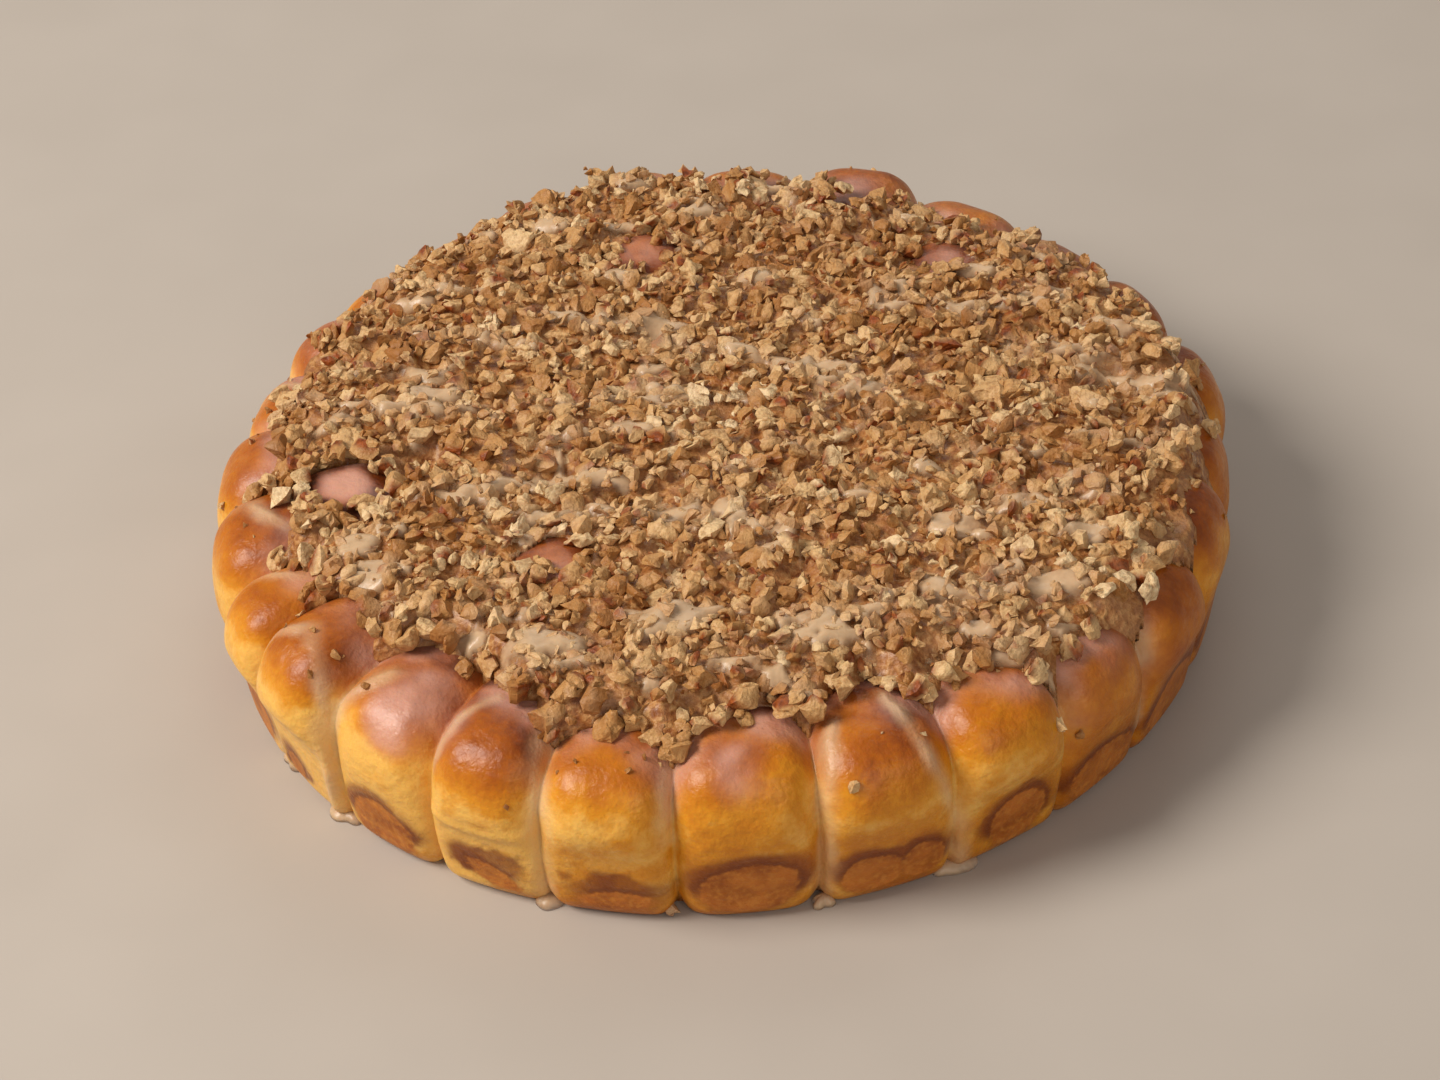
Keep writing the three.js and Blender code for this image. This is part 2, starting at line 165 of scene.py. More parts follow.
def smooth_step(low, high, value):
    """0 below low, 1 above high and smooth between. low may be the larger."""
    share = np.clip((value - low) / (high - low), 0, 1)
    return share * share * (3 - 2 * share)


def hashed(lattice, seed):
    """A number from -1 to 1 for each lattice point."""
    mixed = lattice @ LATTICE_FACTORS + seed * SEED_FACTOR
    mixed = (mixed ^ (mixed >> 13)) * MIX_FACTOR
    mixed = (mixed ^ (mixed >> 16)) & HIGHEST_HASH
    return mixed / (HIGHEST_HASH // 2) - 1


def noise(points, cell, seed):
    """Smooth noise from -1 to 1 that changes over the size of a cell."""
    scaled = points / cell
    corner = np.floor(scaled).astype(np.int64)
    part = scaled - corner
    blend = part * part * (3 - 2 * part)
    total = np.zeros(len(points))
    for offset in itertools.product((0, 1), repeat=3):
        weight = np.prod(np.where(offset, blend, 1 - blend), axis=1)
        total += weight * hashed(corner + np.array(offset), seed)
    return total


def mixed_noise(points, *parts):
    """The sum of noises, each given by its strength, cell and seed."""
    return sum(strength * noise(points, cell, seed) for strength, cell, seed in parts)


def plan_point(radius, azimuth):
    angle = math.radians(azimuth)
    return np.array((radius * math.cos(angle), radius * math.sin(angle)))


def in_plan(x, y):
    """Points at a height of 0."""
    return np.stack((x, y, np.zeros_like(x)), axis=1)


def ring_points(azimuths, radius, height):
    """Points on a ring round the middle, one for each azimuth in degrees."""
    angles = np.radians(azimuths)
    return np.stack((radius * np.cos(angles), radius * np.sin(angles), np.full(len(angles), height)), axis=1)


class Bun:
    """One bun of the loaf. Its level at a point is under 1 inside it."""

    def __init__(self, radius, azimuth, depth, across, rise, half_span=0.0):
        self.azimuth = azimuth
        self.centre = plan_point(radius, azimuth)
        self.out = plan_point(1, azimuth)
        self.depth = depth
        self.across = across
        self.rise = rise
        self.half_span = half_span

    def level(self, points):
        x, y = (points[..., :2] - self.centre).T
        outward = np.abs(x * self.out[0] + y * self.out[1]).T / self.depth
        sideways = np.abs(y * self.out[0] - x * self.out[1]).T / self.across
        z = points[..., 2] - BUN_MIDDLE
        above = z > 0
        height = np.abs(z) / np.where(above, self.rise, BUN_DROP)
        power = np.where(above, RISE_POWER, DROP_POWER)
        plan = outward ** PLAN_POWER + sideways ** PLAN_POWER
        return plan ** (power / PLAN_POWER) + height ** power


def edge_buns():
    """The buns round the edge, anticlockwise from the front."""
    draw = sequence(EDGE_SEED)
    buns = []
    crease = FIRST_CREASE
    for span, reach in zip(EDGE_SPANS, EDGE_REACH):
        radius = EDGE_BUN_CENTRE + reach
        across = ACROSS_SHARE * radius * math.tan(math.radians(span / 2)) + ACROSS_EXTRA
        rise = LOAF_HEIGHT - BUN_MIDDLE + draw(*EDGE_RISES)
        buns.append(Bun(radius, crease + span / 2, EDGE_BUN_DEPTH, across, rise, span / 2))
        crease += span
    return buns


def inner_bun(radius, azimuth, extra_rise):
    crown = CROWN * (1 - (radius / LOAF_RADIUS) ** 2)
    rise = LOAF_HEIGHT - BUN_MIDDLE + crown + extra_rise
    return Bun(radius, azimuth, INNER_BUN_RADIUS, INNER_BUN_RADIUS, rise)


def inner_buns():
    """The buns inside the ring of edge buns, with the proud ones last."""
    draw = sequence(INNER_SEED)
    proud = [inner_bun(radius, azimuth, PROUD_RISE) for radius, azimuth, _ in PROUD_BUNS]
    buns = []
    for ring_radius, count, phase in INNER_RINGS:
        for i in range(count):
            azimuth = phase + 360 * i / count + draw(-INNER_STRAY, INNER_STRAY)
            radius = ring_radius + draw(-INNER_STRAY, INNER_STRAY)
            bun = inner_bun(radius, azimuth, draw(*INNER_RISES))
            gaps = [np.linalg.norm(bun.centre - other.centre) for other in proud]
            if min(gaps) >= PROUD_ROOM:
                buns.append(bun)
    return buns + proud


EDGE = edge_buns()
BUNS = EDGE + inner_buns()


def pan_wall(z):
    """Radius of the pan's wall and of the room above its rim."""
    corner = PAN_CORNER_DEPTH * np.clip(1 - z / PAN_CORNER_HEIGHT, 0, 1) ** 2
    return PAN_RADIUS + PAN_LEAN * z - corner + SWELL_OVER_RIM * np.maximum(0, z - PAN_RIM) ** 2


def last_inside(inside, near, far):
    """Closes in on where each ray leaves a form: it is inside it at near and outside at far."""
    for _ in range(RAY_HALVINGS):
        middle = (near + far) / 2
        hit = inside(middle)
        near = np.where(hit, middle, near)
        far = np.where(hit, far, middle)
    return near


def leaving_bun(bun, origins, directions):
    """How far along each ray it leaves the bun, or 0."""
    steps = np.arange(0, RAY_LENGTH, RAY_STEP)
    along = origins[:, None] + steps[None, :, None] * directions[:, None]
    inside = bun.level(along) < 1
    any_inside = inside.any(axis=1)
    last = steps[len(steps) - 1 - np.argmax(inside[:, ::-1], axis=1)]

    def still_inside(distance):
        return bun.level(origins + distance[:, None] * directions) < 1

    found = last_inside(still_inside, last, last + RAY_STEP)
    return np.where(any_inside, found, 0)


def leaving_buns(origins, directions):
    """How far along each ray it leaves the union of the core and the buns."""
    outward = np.linalg.norm(directions[:, :2], axis=1)
    with np.errstate(divide="ignore"):
        to_side = np.where(outward > TINY, (CORE_RADIUS - FAN_RADIUS) / outward, RAY_LENGTH)
        rising = directions[:, 2] > TINY
        to_top = np.where(rising, (CORE_HEIGHT - FAN_HEIGHT) / directions[:, 2], RAY_LENGTH)
    in_core = np.linalg.norm(origins[:, :2], axis=1) < CORE_RADIUS
    furthest = np.where(in_core, np.minimum(to_side, to_top), 0)
    for bun in BUNS:
        reach = np.linalg.norm(origins[:, :2] - bun.centre, axis=1)
        near = np.flatnonzero(reach < bun.depth + max(bun.across, bun.depth))
        if len(near):
            found = leaving_bun(bun, origins[near], directions[near])
            furthest[near] = np.maximum(furthest[near], found)
    return furthest


def blended_least(first, second, blend):
    """The lesser of two values, with a smooth change from one to the other."""
    near = np.clip(1 - np.abs(first - second) / blend, 0, 1)
    return np.minimum(first, second) - near ** 2 * blend / 4


def surface_distances(origins, directions):
    """How far along each ray the loaf's surface lies, and how far it would be with no pan and no table."""
    free = leaving_buns(origins, directions)

    def in_pan(distance):
        points = origins + distance[:, None] * directions
        return np.hypot(points[:, 0], points[:, 1]) < pan_wall(points[:, 2])

    to_pan = last_inside(in_pan, np.zeros_like(free), np.full_like(free, RAY_LENGTH))
    clipped = blended_least(free, to_pan, PRESS_BLEND)
    falling = directions[:, 2] < -TINY
    to_table = np.where(falling, -origins[:, 2] / np.where(falling, directions[:, 2], -1), RAY_LENGTH)
    return np.minimum(clipped, to_table), free


def fan_rays(azimuths, elevation):
    """Rays at an elevation in degrees, one for each azimuth."""
    rise = math.radians(elevation)
    origins = ring_points(azimuths, FAN_RADIUS, FAN_HEIGHT)
    return origins, ring_points(azimuths, math.cos(rise), math.sin(rise))


def upward_rays(x, y):
    origins = np.stack((x, y, np.full(len(x), FAN_HEIGHT)), axis=1)
    return origins, np.tile((0.0, 0.0, 1.0), (len(x), 1))


def stretched(points):
    """The loaf is a little longer along one axis than across it."""
    axis = np.append(plan_point(1, OVAL_AZIMUTH), 0)
    along = points @ axis
    flat = points * (1, 1, 0)
    across = flat - along[:, None] * axis
    out = along[:, None] * (1 + OVAL_STRETCH) * axis + across * (1 - OVAL_STRETCH)
    out[:, 2] = points[:, 2]
    return out


# The loaf's fine mesh
COLUMNS_PER_BUN = 32
CREASE_CROWDING = 0.25  # how much closer the columns stand towards a crease
BASE_RINGS = (104.0, 70.0, 35.0)
SIDE_ELEVATIONS = np.concatenate((np.arange(-84, -56, 7), np.arange(-54, 90, 2.25)))
TOP_RINGS = np.concatenate((np.arange(110.5, 62, -1.5), np.arange(60, 3, -4)))
UNSQUEEZED = -9.0  # stands for the squeeze under the loaf, where the pan has no wall
RIM_SOFTENING = 14  # how often the side's rows are evened out, so that the pan's rim leaves no sharp line
FIT_SCALE = 0.996  # leaves room inside the CAD box for the crust's relief

# Relief of the crust. These and other noises are given by their strength, cell and seed
LUMPS = (0.55, 17.0, 21)
DIMPLES = (0.13, 5.0, 22)
WRINKLES = (0.22, 2.2, 23)
WRINKLE_SHAPE = (1, 1, 0.35)
RELIEF_ROOM = 0.35  # the crust lies this much further in, so that its relief stays in the CAD model's box
MARK_RECESS = 0.2  # how far the crust round a mark of the pan stands proud of it
FOLD_HEIGHT = 0.7

# Distances over the side of the loaf, in millimetres
MM_PER_AZIMUTH = 2.28
MM_PER_ELEVATION = 0.43

# Marks of the pan's wall: half their width, half their height and the height of their middle
MARK_SIZE = (12.0, 9.4, 11.0)
MARK_SEED = 12
MARK_STRAY, MARK_TILT = 0.12, 9.0  # across a bun, and in degrees
MARK_SHARES = (0.82, 1.04)
MARK_RIM = ((0.9, 9.0, 41), (0.2, 3.0, 42))
MARK_PATCHES = (0.5, 8.0, 43)
MARKED_ELEVATION = 25.0  # there is no mark or scorch higher than this
UNMARKED = -9.0  # stands for the distance inside a mark where there is none
# Marks unlike the rest: the edge bun's number, place across it, tilt in degrees, and shares of the sizes
OTHER_MARKS = (
    (0, 0.02, 2, (1.04, 1.0, 1.02)),
    (1, -0.32, 0, (0.66, 0.75, 0.9)),
    (1, 0.52, 0, (0.48, 0.7, 0.95)),
    (2, 0.1, -28, (0.66, 1.0, 1.05)),
    (22, -0.35, 20, (0.4, 0.5, 0.7)),
    (24, 0.15, -28, (0.7, 0.42, 0.72)),
    (25, 0.15, 6, (0.85, 0.46, 0.6)),
)
SCORCHES = (  # the edge bun's number, place across it, height, half width and half height
    (24, 0.0, 13.5, 9.5, 6.5),
    (25, 0.0, 12.5, 11.0, 5.5),
    (0, 0.0, 20.0, 10.0, 3.5),
    (1, -0.3, 15.0, 9.0, 6.0),
    (1, 0.5, 15.0, 6.5, 5.0),
    (2, 0.1, 16.0, 10.0, 8.0),
    (22, -0.2, 8.0, 9.0, 3.5),
)
SCORCH_RIM = ((0.35, 5.0, 44), (0.2, 2.0, 45))
FOLDED_BUN = 24  # a fold runs across it above the pan's mark
FOLD_ELEVATION = -2.0
FOLD_CURVE = 5.0  # how many degrees higher it is at the creases

# Browning, with painted light and shade: 0 is pale gold, 0.5 is golden brown and 1 is nearly burnt. The rest
# raise or lower the side's
SIDE_BROWN = 0.22
TOP_BROWN = 0.39
BUN_BROWNS = (-0.07, 0.1)
BUN_BROWN_SEED = 8
BLOTCHES = ((0.14, 16.0, 31), (0.08, 6.0, 32))
FOOT_BROWN, WALL_BROWN = 0.16, 0.06
CREASE_PALENESS = 0.07
FOLD_PALENESS, OVER_FOLD_BROWN = 0.3, 0.2
EDGE_DOME_BROWN = 0.22
PROUD_DOME_BROWN_AND_SHADE = 0.42  # where it has no film of glaze: darker round a proud dome's middle, partly painted shade
PALE_BUNS = (1, 22, 24)
PALENESS = 0.15
PAINTED_LIGHT_SIDE_START, PAINTED_LIGHT_SIDE_END = -15.0, -105.0  # the buns' sides become paler over this x: painted light on the side that faces the key light
PAINTED_LIGHT_SIDE = 0.25
PAINTED_SHADE_SIDE_START, PAINTED_SHADE_SIDE_END = 70.0, 125.0  # and browner over this x: painted shade on the side away from the key light
PAINTED_SHADE_SIDE = 0.16

# The film of glaze over the buns' tops
FILM_START, FILM_END = 88.0, 122.0  # it thins out over this x
FILM_STREAKS = (1.0, 9.0, 33)
FILM_STREAK_SHAPE = (1, 1, 0.4)
FILM_SPOTS = (0.5, 4.0, 34)
THINNEST_FILM = 0.3
THICKEST_VEIL = 1.25

# Runs of glaze: (azimuth, elevation) of the points they pass, half their width and their depth
RUNS = (
    (((265.5, 78), (264.5, 50), (264.3, 6)), 1.5, 0.7),
    (((283, 72), (281.5, 50), (280.5, 10), (280.6, -52)), 1.8, 0.9),
    (((290, 82), (291.5, 50), (293.6, 12), (295.2, -18), (295.6, -60)), 1.7, 0.8),
    (((250, 72), (250.8, 20), (250.5, -58)), 2.2, 1.0),
    (((228, 70), (224.5, 45), (223, 10), (222.3, -30), (221.5, -60)), 2.4, 1.0),
    (((223, 30), (220.5, 52), (216.5, 62), (212.5, 48), (211, 10), (210.6, -50)), 1.4, 0.7),
    (((206, 78), (202, 52), (200.5, 10), (199.5, -20)), 1.5, 0.7),
    (((197, 80), (190, 62), (186.8, 30), (186.5, -55)), 1.8, 0.8),
    (((242, 82), (239, 60), (237.6, 30)), 1.6, 0.6),
    (((322, 70), (322, 20), (321.5, -30)), 1.5, 0.6),
    (((350, 66), (350, 10)), 1.4, 0.6),
    (((15, 76), (18, 40), (18.5, -50)), 1.8, 0.8),
    (((46, 78), (47.5, 40), (47.5, 0)), 1.6, 0.7),
    (((77, 80), (79, 40), (79, -55)), 2.0, 0.9),
    (((99, 82), (101, 52), (103, 10), (102, -25)), 1.4, 0.6),
    (((122, 78), (121, 30), (121, -40)), 1.7, 0.8),
    (((148, 78), (147, 30), (147, -55)), 2.0, 0.9),
    (((165, 84), (164, 50), (166, 15)), 1.4, 0.6),
)
RUN_WIDTHS = ((0.4, 5.0, 51), (0.2, 2.0, 52))  # how they vary, in shares of the half width
RUN_DRIFT = (1.1, 11.0, 54)  # sideways
RUN_PATCHES = (0.6, 7.0, 53)

# Pools at the foot of runs: azimuth, half their length and half their depth
POOLS = (
    (295.6, 5.6, 3.6),
    (280.6, 2.8, 2.2),
    (250.4, 3.8, 2.8),
    (221.6, 6.5, 3.6),
    (210.6, 4.0, 2.6),
    (186.5, 4.4, 3.0),
    (18.4, 3.6, 2.6),
    (79.0, 5.0, 3.2),
    (147.0, 4.2, 3.0),
)
POOL_HEIGHT = 2.6
POOL_SIGHT = 4.0  # degrees
POOL_INSET = 2.0  # how far under the loaf's foot a pool's middle lies
POOL_RINGS = np.array((1.0, 0.98, 0.9, 0.75, 0.55, 0.3))  # in shares of its reach
POOL_POINTS = 40  # of a ring
POOL_ROUNDNESS = 0.97
POOL_SEED = 60
FOOT_HEIGHT = 2.5


def column_places():
    """The azimuth of each column of points, its place across its bun and the number of its bun.

    The place is 0 in a bun's middle and 1 at a crease.
    """
    step = np.arange(COLUMNS_PER_BUN) / COLUMNS_PER_BUN * 2 - 1
    across = step * (1 + CREASE_CROWDING) - CREASE_CROWDING * step ** 3
    azimuths = np.concatenate([bun.azimuth + across * bun.half_span for bun in EDGE])
    return azimuths, np.tile(np.abs(across), len(EDGE)), np.repeat(np.arange(len(EDGE)), COLUMNS_PER_BUN)


class Surface:
    """Rows of surface points of the loaf, one point in each row for each column."""

    def __init__(self):
        self.azimuths, across, buns = column_places()
        self.rows = []
        for radius in reversed(BASE_RINGS):
            self.add_base_row(radius)
        for elevation in SIDE_ELEVATIONS:
            self.add_row(*fan_rays(self.azimuths, elevation), elevation)
        for radius in TOP_RINGS:
            x, y, _ = ring_points(self.azimuths, radius, 0.0).T
            self.add_row(*upward_rays(x, y), 90 + FAN_RADIUS - radius)
        self.points = self.softened(np.stack([row["points"] for row in self.rows]))
        self.directions, self.squeeze, self.elevation = (
            np.concatenate([row[name] for row in self.rows])
            for name in ("directions", "squeeze", "elevation")
        )
        self.all_azimuths, self.all_across, self.all_buns = (
            np.tile(values, len(self.rows)) for values in (self.azimuths, across, buns)
        )

    def softened(self, points):
        """Rows of points as one list, with those of the side moved towards the mean of their neighbours."""
        elevation = np.array([row["elevation"][0] for row in self.rows])
        share = smooth_step(-45, -35, elevation) * smooth_step(40, 25, elevation) / 2
        for _ in range(RIM_SOFTENING):
            mean = (points[:-2] + points[2:]) / 2
            points[1:-1] += share[1:-1, None, None] * (mean - points[1:-1])
        return points.reshape(-1, 3)

    def add_base_row(self, radius):
        count = len(self.azimuths)
        self.rows.append({
            "points": ring_points(self.azimuths, radius, 0.0),
            "directions": np.tile((0.0, 0.0, -1.0), (count, 1)),
            "squeeze": np.full(count, UNSQUEEZED),
            "elevation": np.full(count, -90.0),
        })

    def add_row(self, origins, directions, elevation):
        distances, free = surface_distances(origins, directions)
        unpressed = origins + free[:, None] * directions
        self.rows.append({
            "points": origins + distances[:, None] * directions,
            "directions": directions,
            "squeeze": np.hypot(unpressed[:, 0], unpressed[:, 1]) - pan_wall(unpressed[:, 2]),
            "elevation": np.full(len(origins), float(elevation)),
        })


def grid_faces(rows, columns):
    """Four-cornered faces between rows of points that close round on themselves, wound to face outwards."""
    first = np.arange(rows - 1)[:, None] * columns
    here = np.arange(columns)[None, :]
    after = (here + 1) % columns
    corners = (first + here, first + after, first + columns + after, first + columns + here)
    return np.stack(corners, axis=-1).reshape(-1, 4)


def pole_faces(ring_start, columns, pole, outward):
    """Triangles between a ring of points and a pole, wound like the ring's points or the other way."""
    here = ring_start + np.arange(columns)
    after = ring_start + (np.arange(columns) + 1) % columns
    tip = np.full(columns, pole)
    order = (here, after, tip) if outward else (after, here, tip)
    return np.stack(order, axis=-1)


def make_mesh(name, points, face_sets, material, **attributes):
    """A mesh object from points in millimetres, arrays of faces, and numbers at the points by their names."""
    mesh = bpy.data.meshes.new(name)
    mesh.vertices.add(len(points))
    mesh.vertices.foreach_set("co", np.asarray(points * MM, dtype=np.float32).ravel())
    corners = np.concatenate([faces.ravel() for faces in face_sets])
    sizes = np.concatenate([np.full(len(faces), faces.shape[1]) for faces in face_sets])
    starts = np.concatenate(((0,), np.cumsum(sizes)[:-1]))
    mesh.loops.add(len(corners))
    mesh.polygons.add(len(sizes))
    mesh.polygons.foreach_set("loop_start", starts.astype(np.int32))
    mesh.polygons.foreach_set("vertices", corners.astype(np.int32))
    mesh.update(calc_edges=True)
    mesh.polygons.foreach_set("use_smooth", np.full(len(sizes), True))
    for attribute, values in attributes.items():
        layer = mesh.attributes.new(attribute, "FLOAT", "POINT")
        layer.data.foreach_set("value", np.asarray(values, dtype=np.float32))
    mesh.materials.append(material)
    piece = bpy.data.objects.new(name, mesh)
    bpy.context.scene.collection.objects.link(piece)
    return piece


# The uneven edge of the pecans, in plan, before the oval stretch
COVER_WANDER = (2.5, 12.0, 3)
SPOT_WANDER = (2.5, 7.0, 5)

# The field of heights of the top, on a square grid in plan
FIELD_HALF = 140.0
FIELD_CELL = 1.1
FIELD_RADIUS = 132.0  # pecans and glaze lie inside this radius

# The layer of glaze and crumbs
COAT, COAT_DIVE = 1.9, 1.3  # how much thicker it is inside the pecans' outline, and how deep it lies outside
LAYER_GRAIN = ((0.35, 3.6, 11), (0.3, 1.9, 12))
FILL_WANDER = (0.5, 9.0, 13)
LARGEST_FILL = 6.0
LAYER_END, LAYER_ROOT = 0.65, 1.6  # how far inside the crust it ends, and how far its underside lies
BINDER_DEPTH = 1.9  # how far below the mean top of the pecans the gaps between them are filled
BINDER_DIVE = 5.0  # how much lower that is at the pecans' outline
BINDER_GRAIN = ((0.4, 3.0, 14), (0.3, 1.6, 15))

# Milky glaze on the pecans: streaks along an azimuth and puddles (x, y, reach)
STREAK_AZIMUTH = -8.0
STREAK_SHAPE = (0.32, 1.0, 1.0)
STREAKS = (1.0, 6.5, 73)
STREAK_BREAKS = (0.35, 3.0, 74)
STREAK_DRIFT, DRIFT_CELL, DRIFT_SEEDS = 5.0, 30.0, (71, 72)
STREAK_SCARCITY = 0.32
PUDDLES = (
    (82, -75, 6), (92, -58, 4), (-79, 14, 5), (-43, -90, 7), (32, 17, 3.5), (-62, -84, 4), (64, -92, 3.5),
    (70, 62, 4.5), (88, 44, 3.5), (-30, 66, 3.5), (-8, 96, 4), (-66, 40, 4), (52, -28, 3), (14, -58, 3),
    (-30, -36, 3), (100, 10, 3.5), (-92, -48, 4), (-88, -62, 4), (-20, 20, 3), (-84, 60, 4), (-50, 92, 4),
    (-26, 114, 5), (-104, 4, 4), (36, -84, 3.5), (6, -92, 3),
)
PUDDLE_STRETCH = 1.8
PUDDLE_RIM = (1.8, 5.0, 75)
PUDDLE_CORE = 0.3  # few pecans lie where a puddle's share is more than this
PUDDLE_SPREAD = 0.9  # how much more that share may be for a pecan
MILK_HEIGHTS = (-0.9, 2.5)  # over the layer: where it is dry, and in the middle of a puddle
MILK_RIPPLE = ((0.35, 4.0, 76), (0.15, 1.9, 77))
MILK_END, MILK_ROOT = 0.7, 1.0  # how far under the layer it ends, and how far its underside lies
# The proud domes: how much more of each is bare than in the CAD model, and how thick its film of glaze and
# painted highlight is
PROUD_LOOKS = ((-1.2, 0.6), (2.5, 1.25), (-2.0, 0.6), (-0.5, 0.5))
PROUD_SPOTS = tuple(
    (radius, azimuth, bare + more) for (radius, azimuth, bare), (more, _) in zip(PROUD_BUNS, PROUD_LOOKS)
)


def place_across(azimuth):
    """Where azimuths cross their edge buns: 0 at a dome's middle and 1 at a crease."""
    turn = np.mod(azimuth - FIRST_CREASE, 360)
    ends = np.cumsum(EDGE_SPANS)
    starts = ends - EDGE_SPANS
    number = np.clip(np.searchsorted(ends, turn, side="right"), 0, len(EDGE_SPANS) - 1)
    half = np.array(EDGE_SPANS)[number] / 2
    return np.abs(turn - starts[number] - half) / half


def topping_end(azimuths):
    """The radius where the topping ends at azimuths in degrees."""
    ends = np.interp(np.mod(azimuths, 360), *zip(*TOPPING_ENDS))
    return ends + FURTHER_IN_CREASES * place_across(azimuths) ** 3


def beyond_spots(points, spots):
    """How far each point is outside the nearest of some bare spots, in plan. It is negative inside."""
    gaps = [np.linalg.norm(points[:, :2] - plan_point(radius, azimuth), axis=1) - bare
            for radius, azimuth, bare in spots]
    return np.min(gaps, axis=0)


def cover(x, y):
    """How far inside the pecans' outline a place in plan is, in millimetres. It is negative outside."""
    points = in_plan(x, y)
    edge = topping_end(np.degrees(np.arctan2(y, x))) + mixed_noise(points, COVER_WANDER)
    margin = edge - np.hypot(x, y)
    gap = beyond_spots(points, BARE_EDGES + PROUD_SPOTS)
    return np.minimum(margin, gap + mixed_noise(points, SPOT_WANDER))


def puddle_share(x, y):
    """1 in the middle of a puddle of glaze, 0 at its rim and negative outside."""
    ragged = mixed_noise(in_plan(x, y), PUDDLE_RIM)
    share = np.full(len(x), -1.0)
    for puddle_x, puddle_y, reach in PUDDLES:
        gap = np.hypot((x - puddle_x) / PUDDLE_STRETCH, y - puddle_y) + ragged
        share = np.maximum(share, 1 - gap / reach)
    return share


def turned_plan(points, azimuth):
    """Points in plan turned so that an azimuth lies along X."""
    (cos, sin), (x, y, z) = plan_point(1, azimuth), points.T
    return np.stack((x * cos + y * sin, y * cos - x * sin, z), axis=1)


def level_of_fill(radius):
    """The height that glaze and crumbs fill up to between the domes."""
    return GLAZE_LEVEL + CROWN * (1 - (radius / LOAF_RADIUS) ** 2)


class Field:
    """Heights over the top of the loaf, in plan."""

    def __init__(self):
        axis = np.arange(-FIELD_HALF, FIELD_HALF + FIELD_CELL / 2, FIELD_CELL)
        self.count = len(axis)
        self.x, self.y = (grid.ravel() for grid in np.meshgrid(axis, axis, indexing="ij"))
        self.radius = np.hypot(self.x, self.y)
        self.plan = in_plan(self.x, self.y)
        self.crust = np.zeros(len(self.x))
        near = np.flatnonzero(self.radius < FIELD_HALF)
        distances, _ = surface_distances(*upward_rays(self.x[near], self.y[near]))
        self.crust[near] = FAN_HEIGHT + distances
        self.cover = cover(self.x, self.y)
        self.layer = self.crust + self.layer_thickness()
        self.top = self.layer.copy()

    def layer_thickness(self):
        """Glaze and crumbs fill the dips, lie thinly on the domes and dive under the bare ones."""
        coat = COAT * smooth_step(-1.0, 5.0, self.cover) - COAT_DIVE + mixed_noise(self.plan, *LAYER_GRAIN)
        level = level_of_fill(self.radius) + mixed_noise(self.plan, FILL_WANDER)
        room = LARGEST_FILL * smooth_step(0.0, 9.0, self.cover)
        return coat + np.minimum(np.clip(level - self.crust, 0, None), room)

    def bind(self):
        """Raises the layer between the pecans that lie on it: glaze and fine crumbs stick them together."""
        packed = self.blurred(self.top, 2.2) - BINDER_DEPTH - BINDER_DIVE * smooth_step(7.0, 0.0, self.cover)
        self.layer = np.maximum(self.layer, packed + mixed_noise(self.plan, *BINDER_GRAIN))

    def pour_milk(self):
        """Sets the heights of the milky glaze, low outside its streaks and puddles."""
        drift = np.stack([noise(self.plan, DRIFT_CELL, seed) for seed in DRIFT_SEEDS] + [0 * self.x], axis=1)
        drifted = turned_plan(self.plan + STREAK_DRIFT * drift, STREAK_AZIMUTH)
        streaks = mixed_noise(drifted * STREAK_SHAPE, STREAKS) + mixed_noise(self.plan, STREAK_BREAKS)
        self.wet = np.maximum(streaks - STREAK_SCARCITY, puddle_share(self.x, self.y))
        self.wet = np.minimum(self.wet, self.cover / 5 - 0.2)
        low, high = MILK_HEIGHTS
        rise = (high - low) * smooth_step(-0.15, 0.55, self.wet)
        self.milk = self.blurred(self.layer, 1.2) + low + rise + mixed_noise(self.plan, *MILK_RIPPLE)

    def cell(self, x, y):
        """The number of the cell at a place."""
        steps = (np.rint((values + FIELD_HALF) / FIELD_CELL).astype(int) for values in (x, y))
        column, row = (np.clip(step, 0, self.count - 1) for step in steps)
        return column * self.count + row

    def blurred(self, heights, reach):
        """Heights averaged over a reach in millimetres."""
        grid = heights.reshape(self.count, self.count)
        steps = max(1, int(round(reach / FIELD_CELL)))
        weights = np.exp(-0.5 * (np.arange(-2 * steps, 2 * steps + 1) / steps) ** 2)
        weights /= weights.sum()
        for axis in (0, 1):
            grid = np.apply_along_axis(np.convolve, axis, grid, weights, mode="same")
        return grid.ravel()


def surface_of_cells(field, heights, keep):
    """Points, faces that face up, and the cells used, for a field's heights over the kept cells."""
    count = field.count
    corner = np.arange(count * count).reshape(count, count)
    cells = np.stack(
        (corner[:-1, :-1], corner[1:, :-1], corner[1:, 1:], corner[:-1, 1:]), axis=-1
    ).reshape(-1, 4)
    cells = cells[keep[cells].all(axis=1)]
    used, numbered = np.unique(cells, return_inverse=True)
    points = np.stack((field.x[used], field.y[used], heights[used]), axis=1)
    return points, numbered.reshape(-1, 4), used


def closed_shell(points, faces, under):
    """Closes a sheet of four-cornered faces with a lower sheet at given heights and walls round its rim."""
    count = len(points)
    lower = points.copy()
    lower[:, 2] = under
    edges = np.concatenate([faces[:, (i, (i + 1) % 4)] for i in range(4)])
    key = edges[:, 0].astype(np.int64) * count + edges[:, 1]
    twin = edges[:, 1].astype(np.int64) * count + edges[:, 0]
    rim = edges[~np.isin(key, twin)]
    walls = np.stack((rim[:, 1], rim[:, 0], rim[:, 0] + count, rim[:, 1] + count), axis=1)
    return np.concatenate((points, lower)), [faces, faces[:, ::-1] + count, walls]


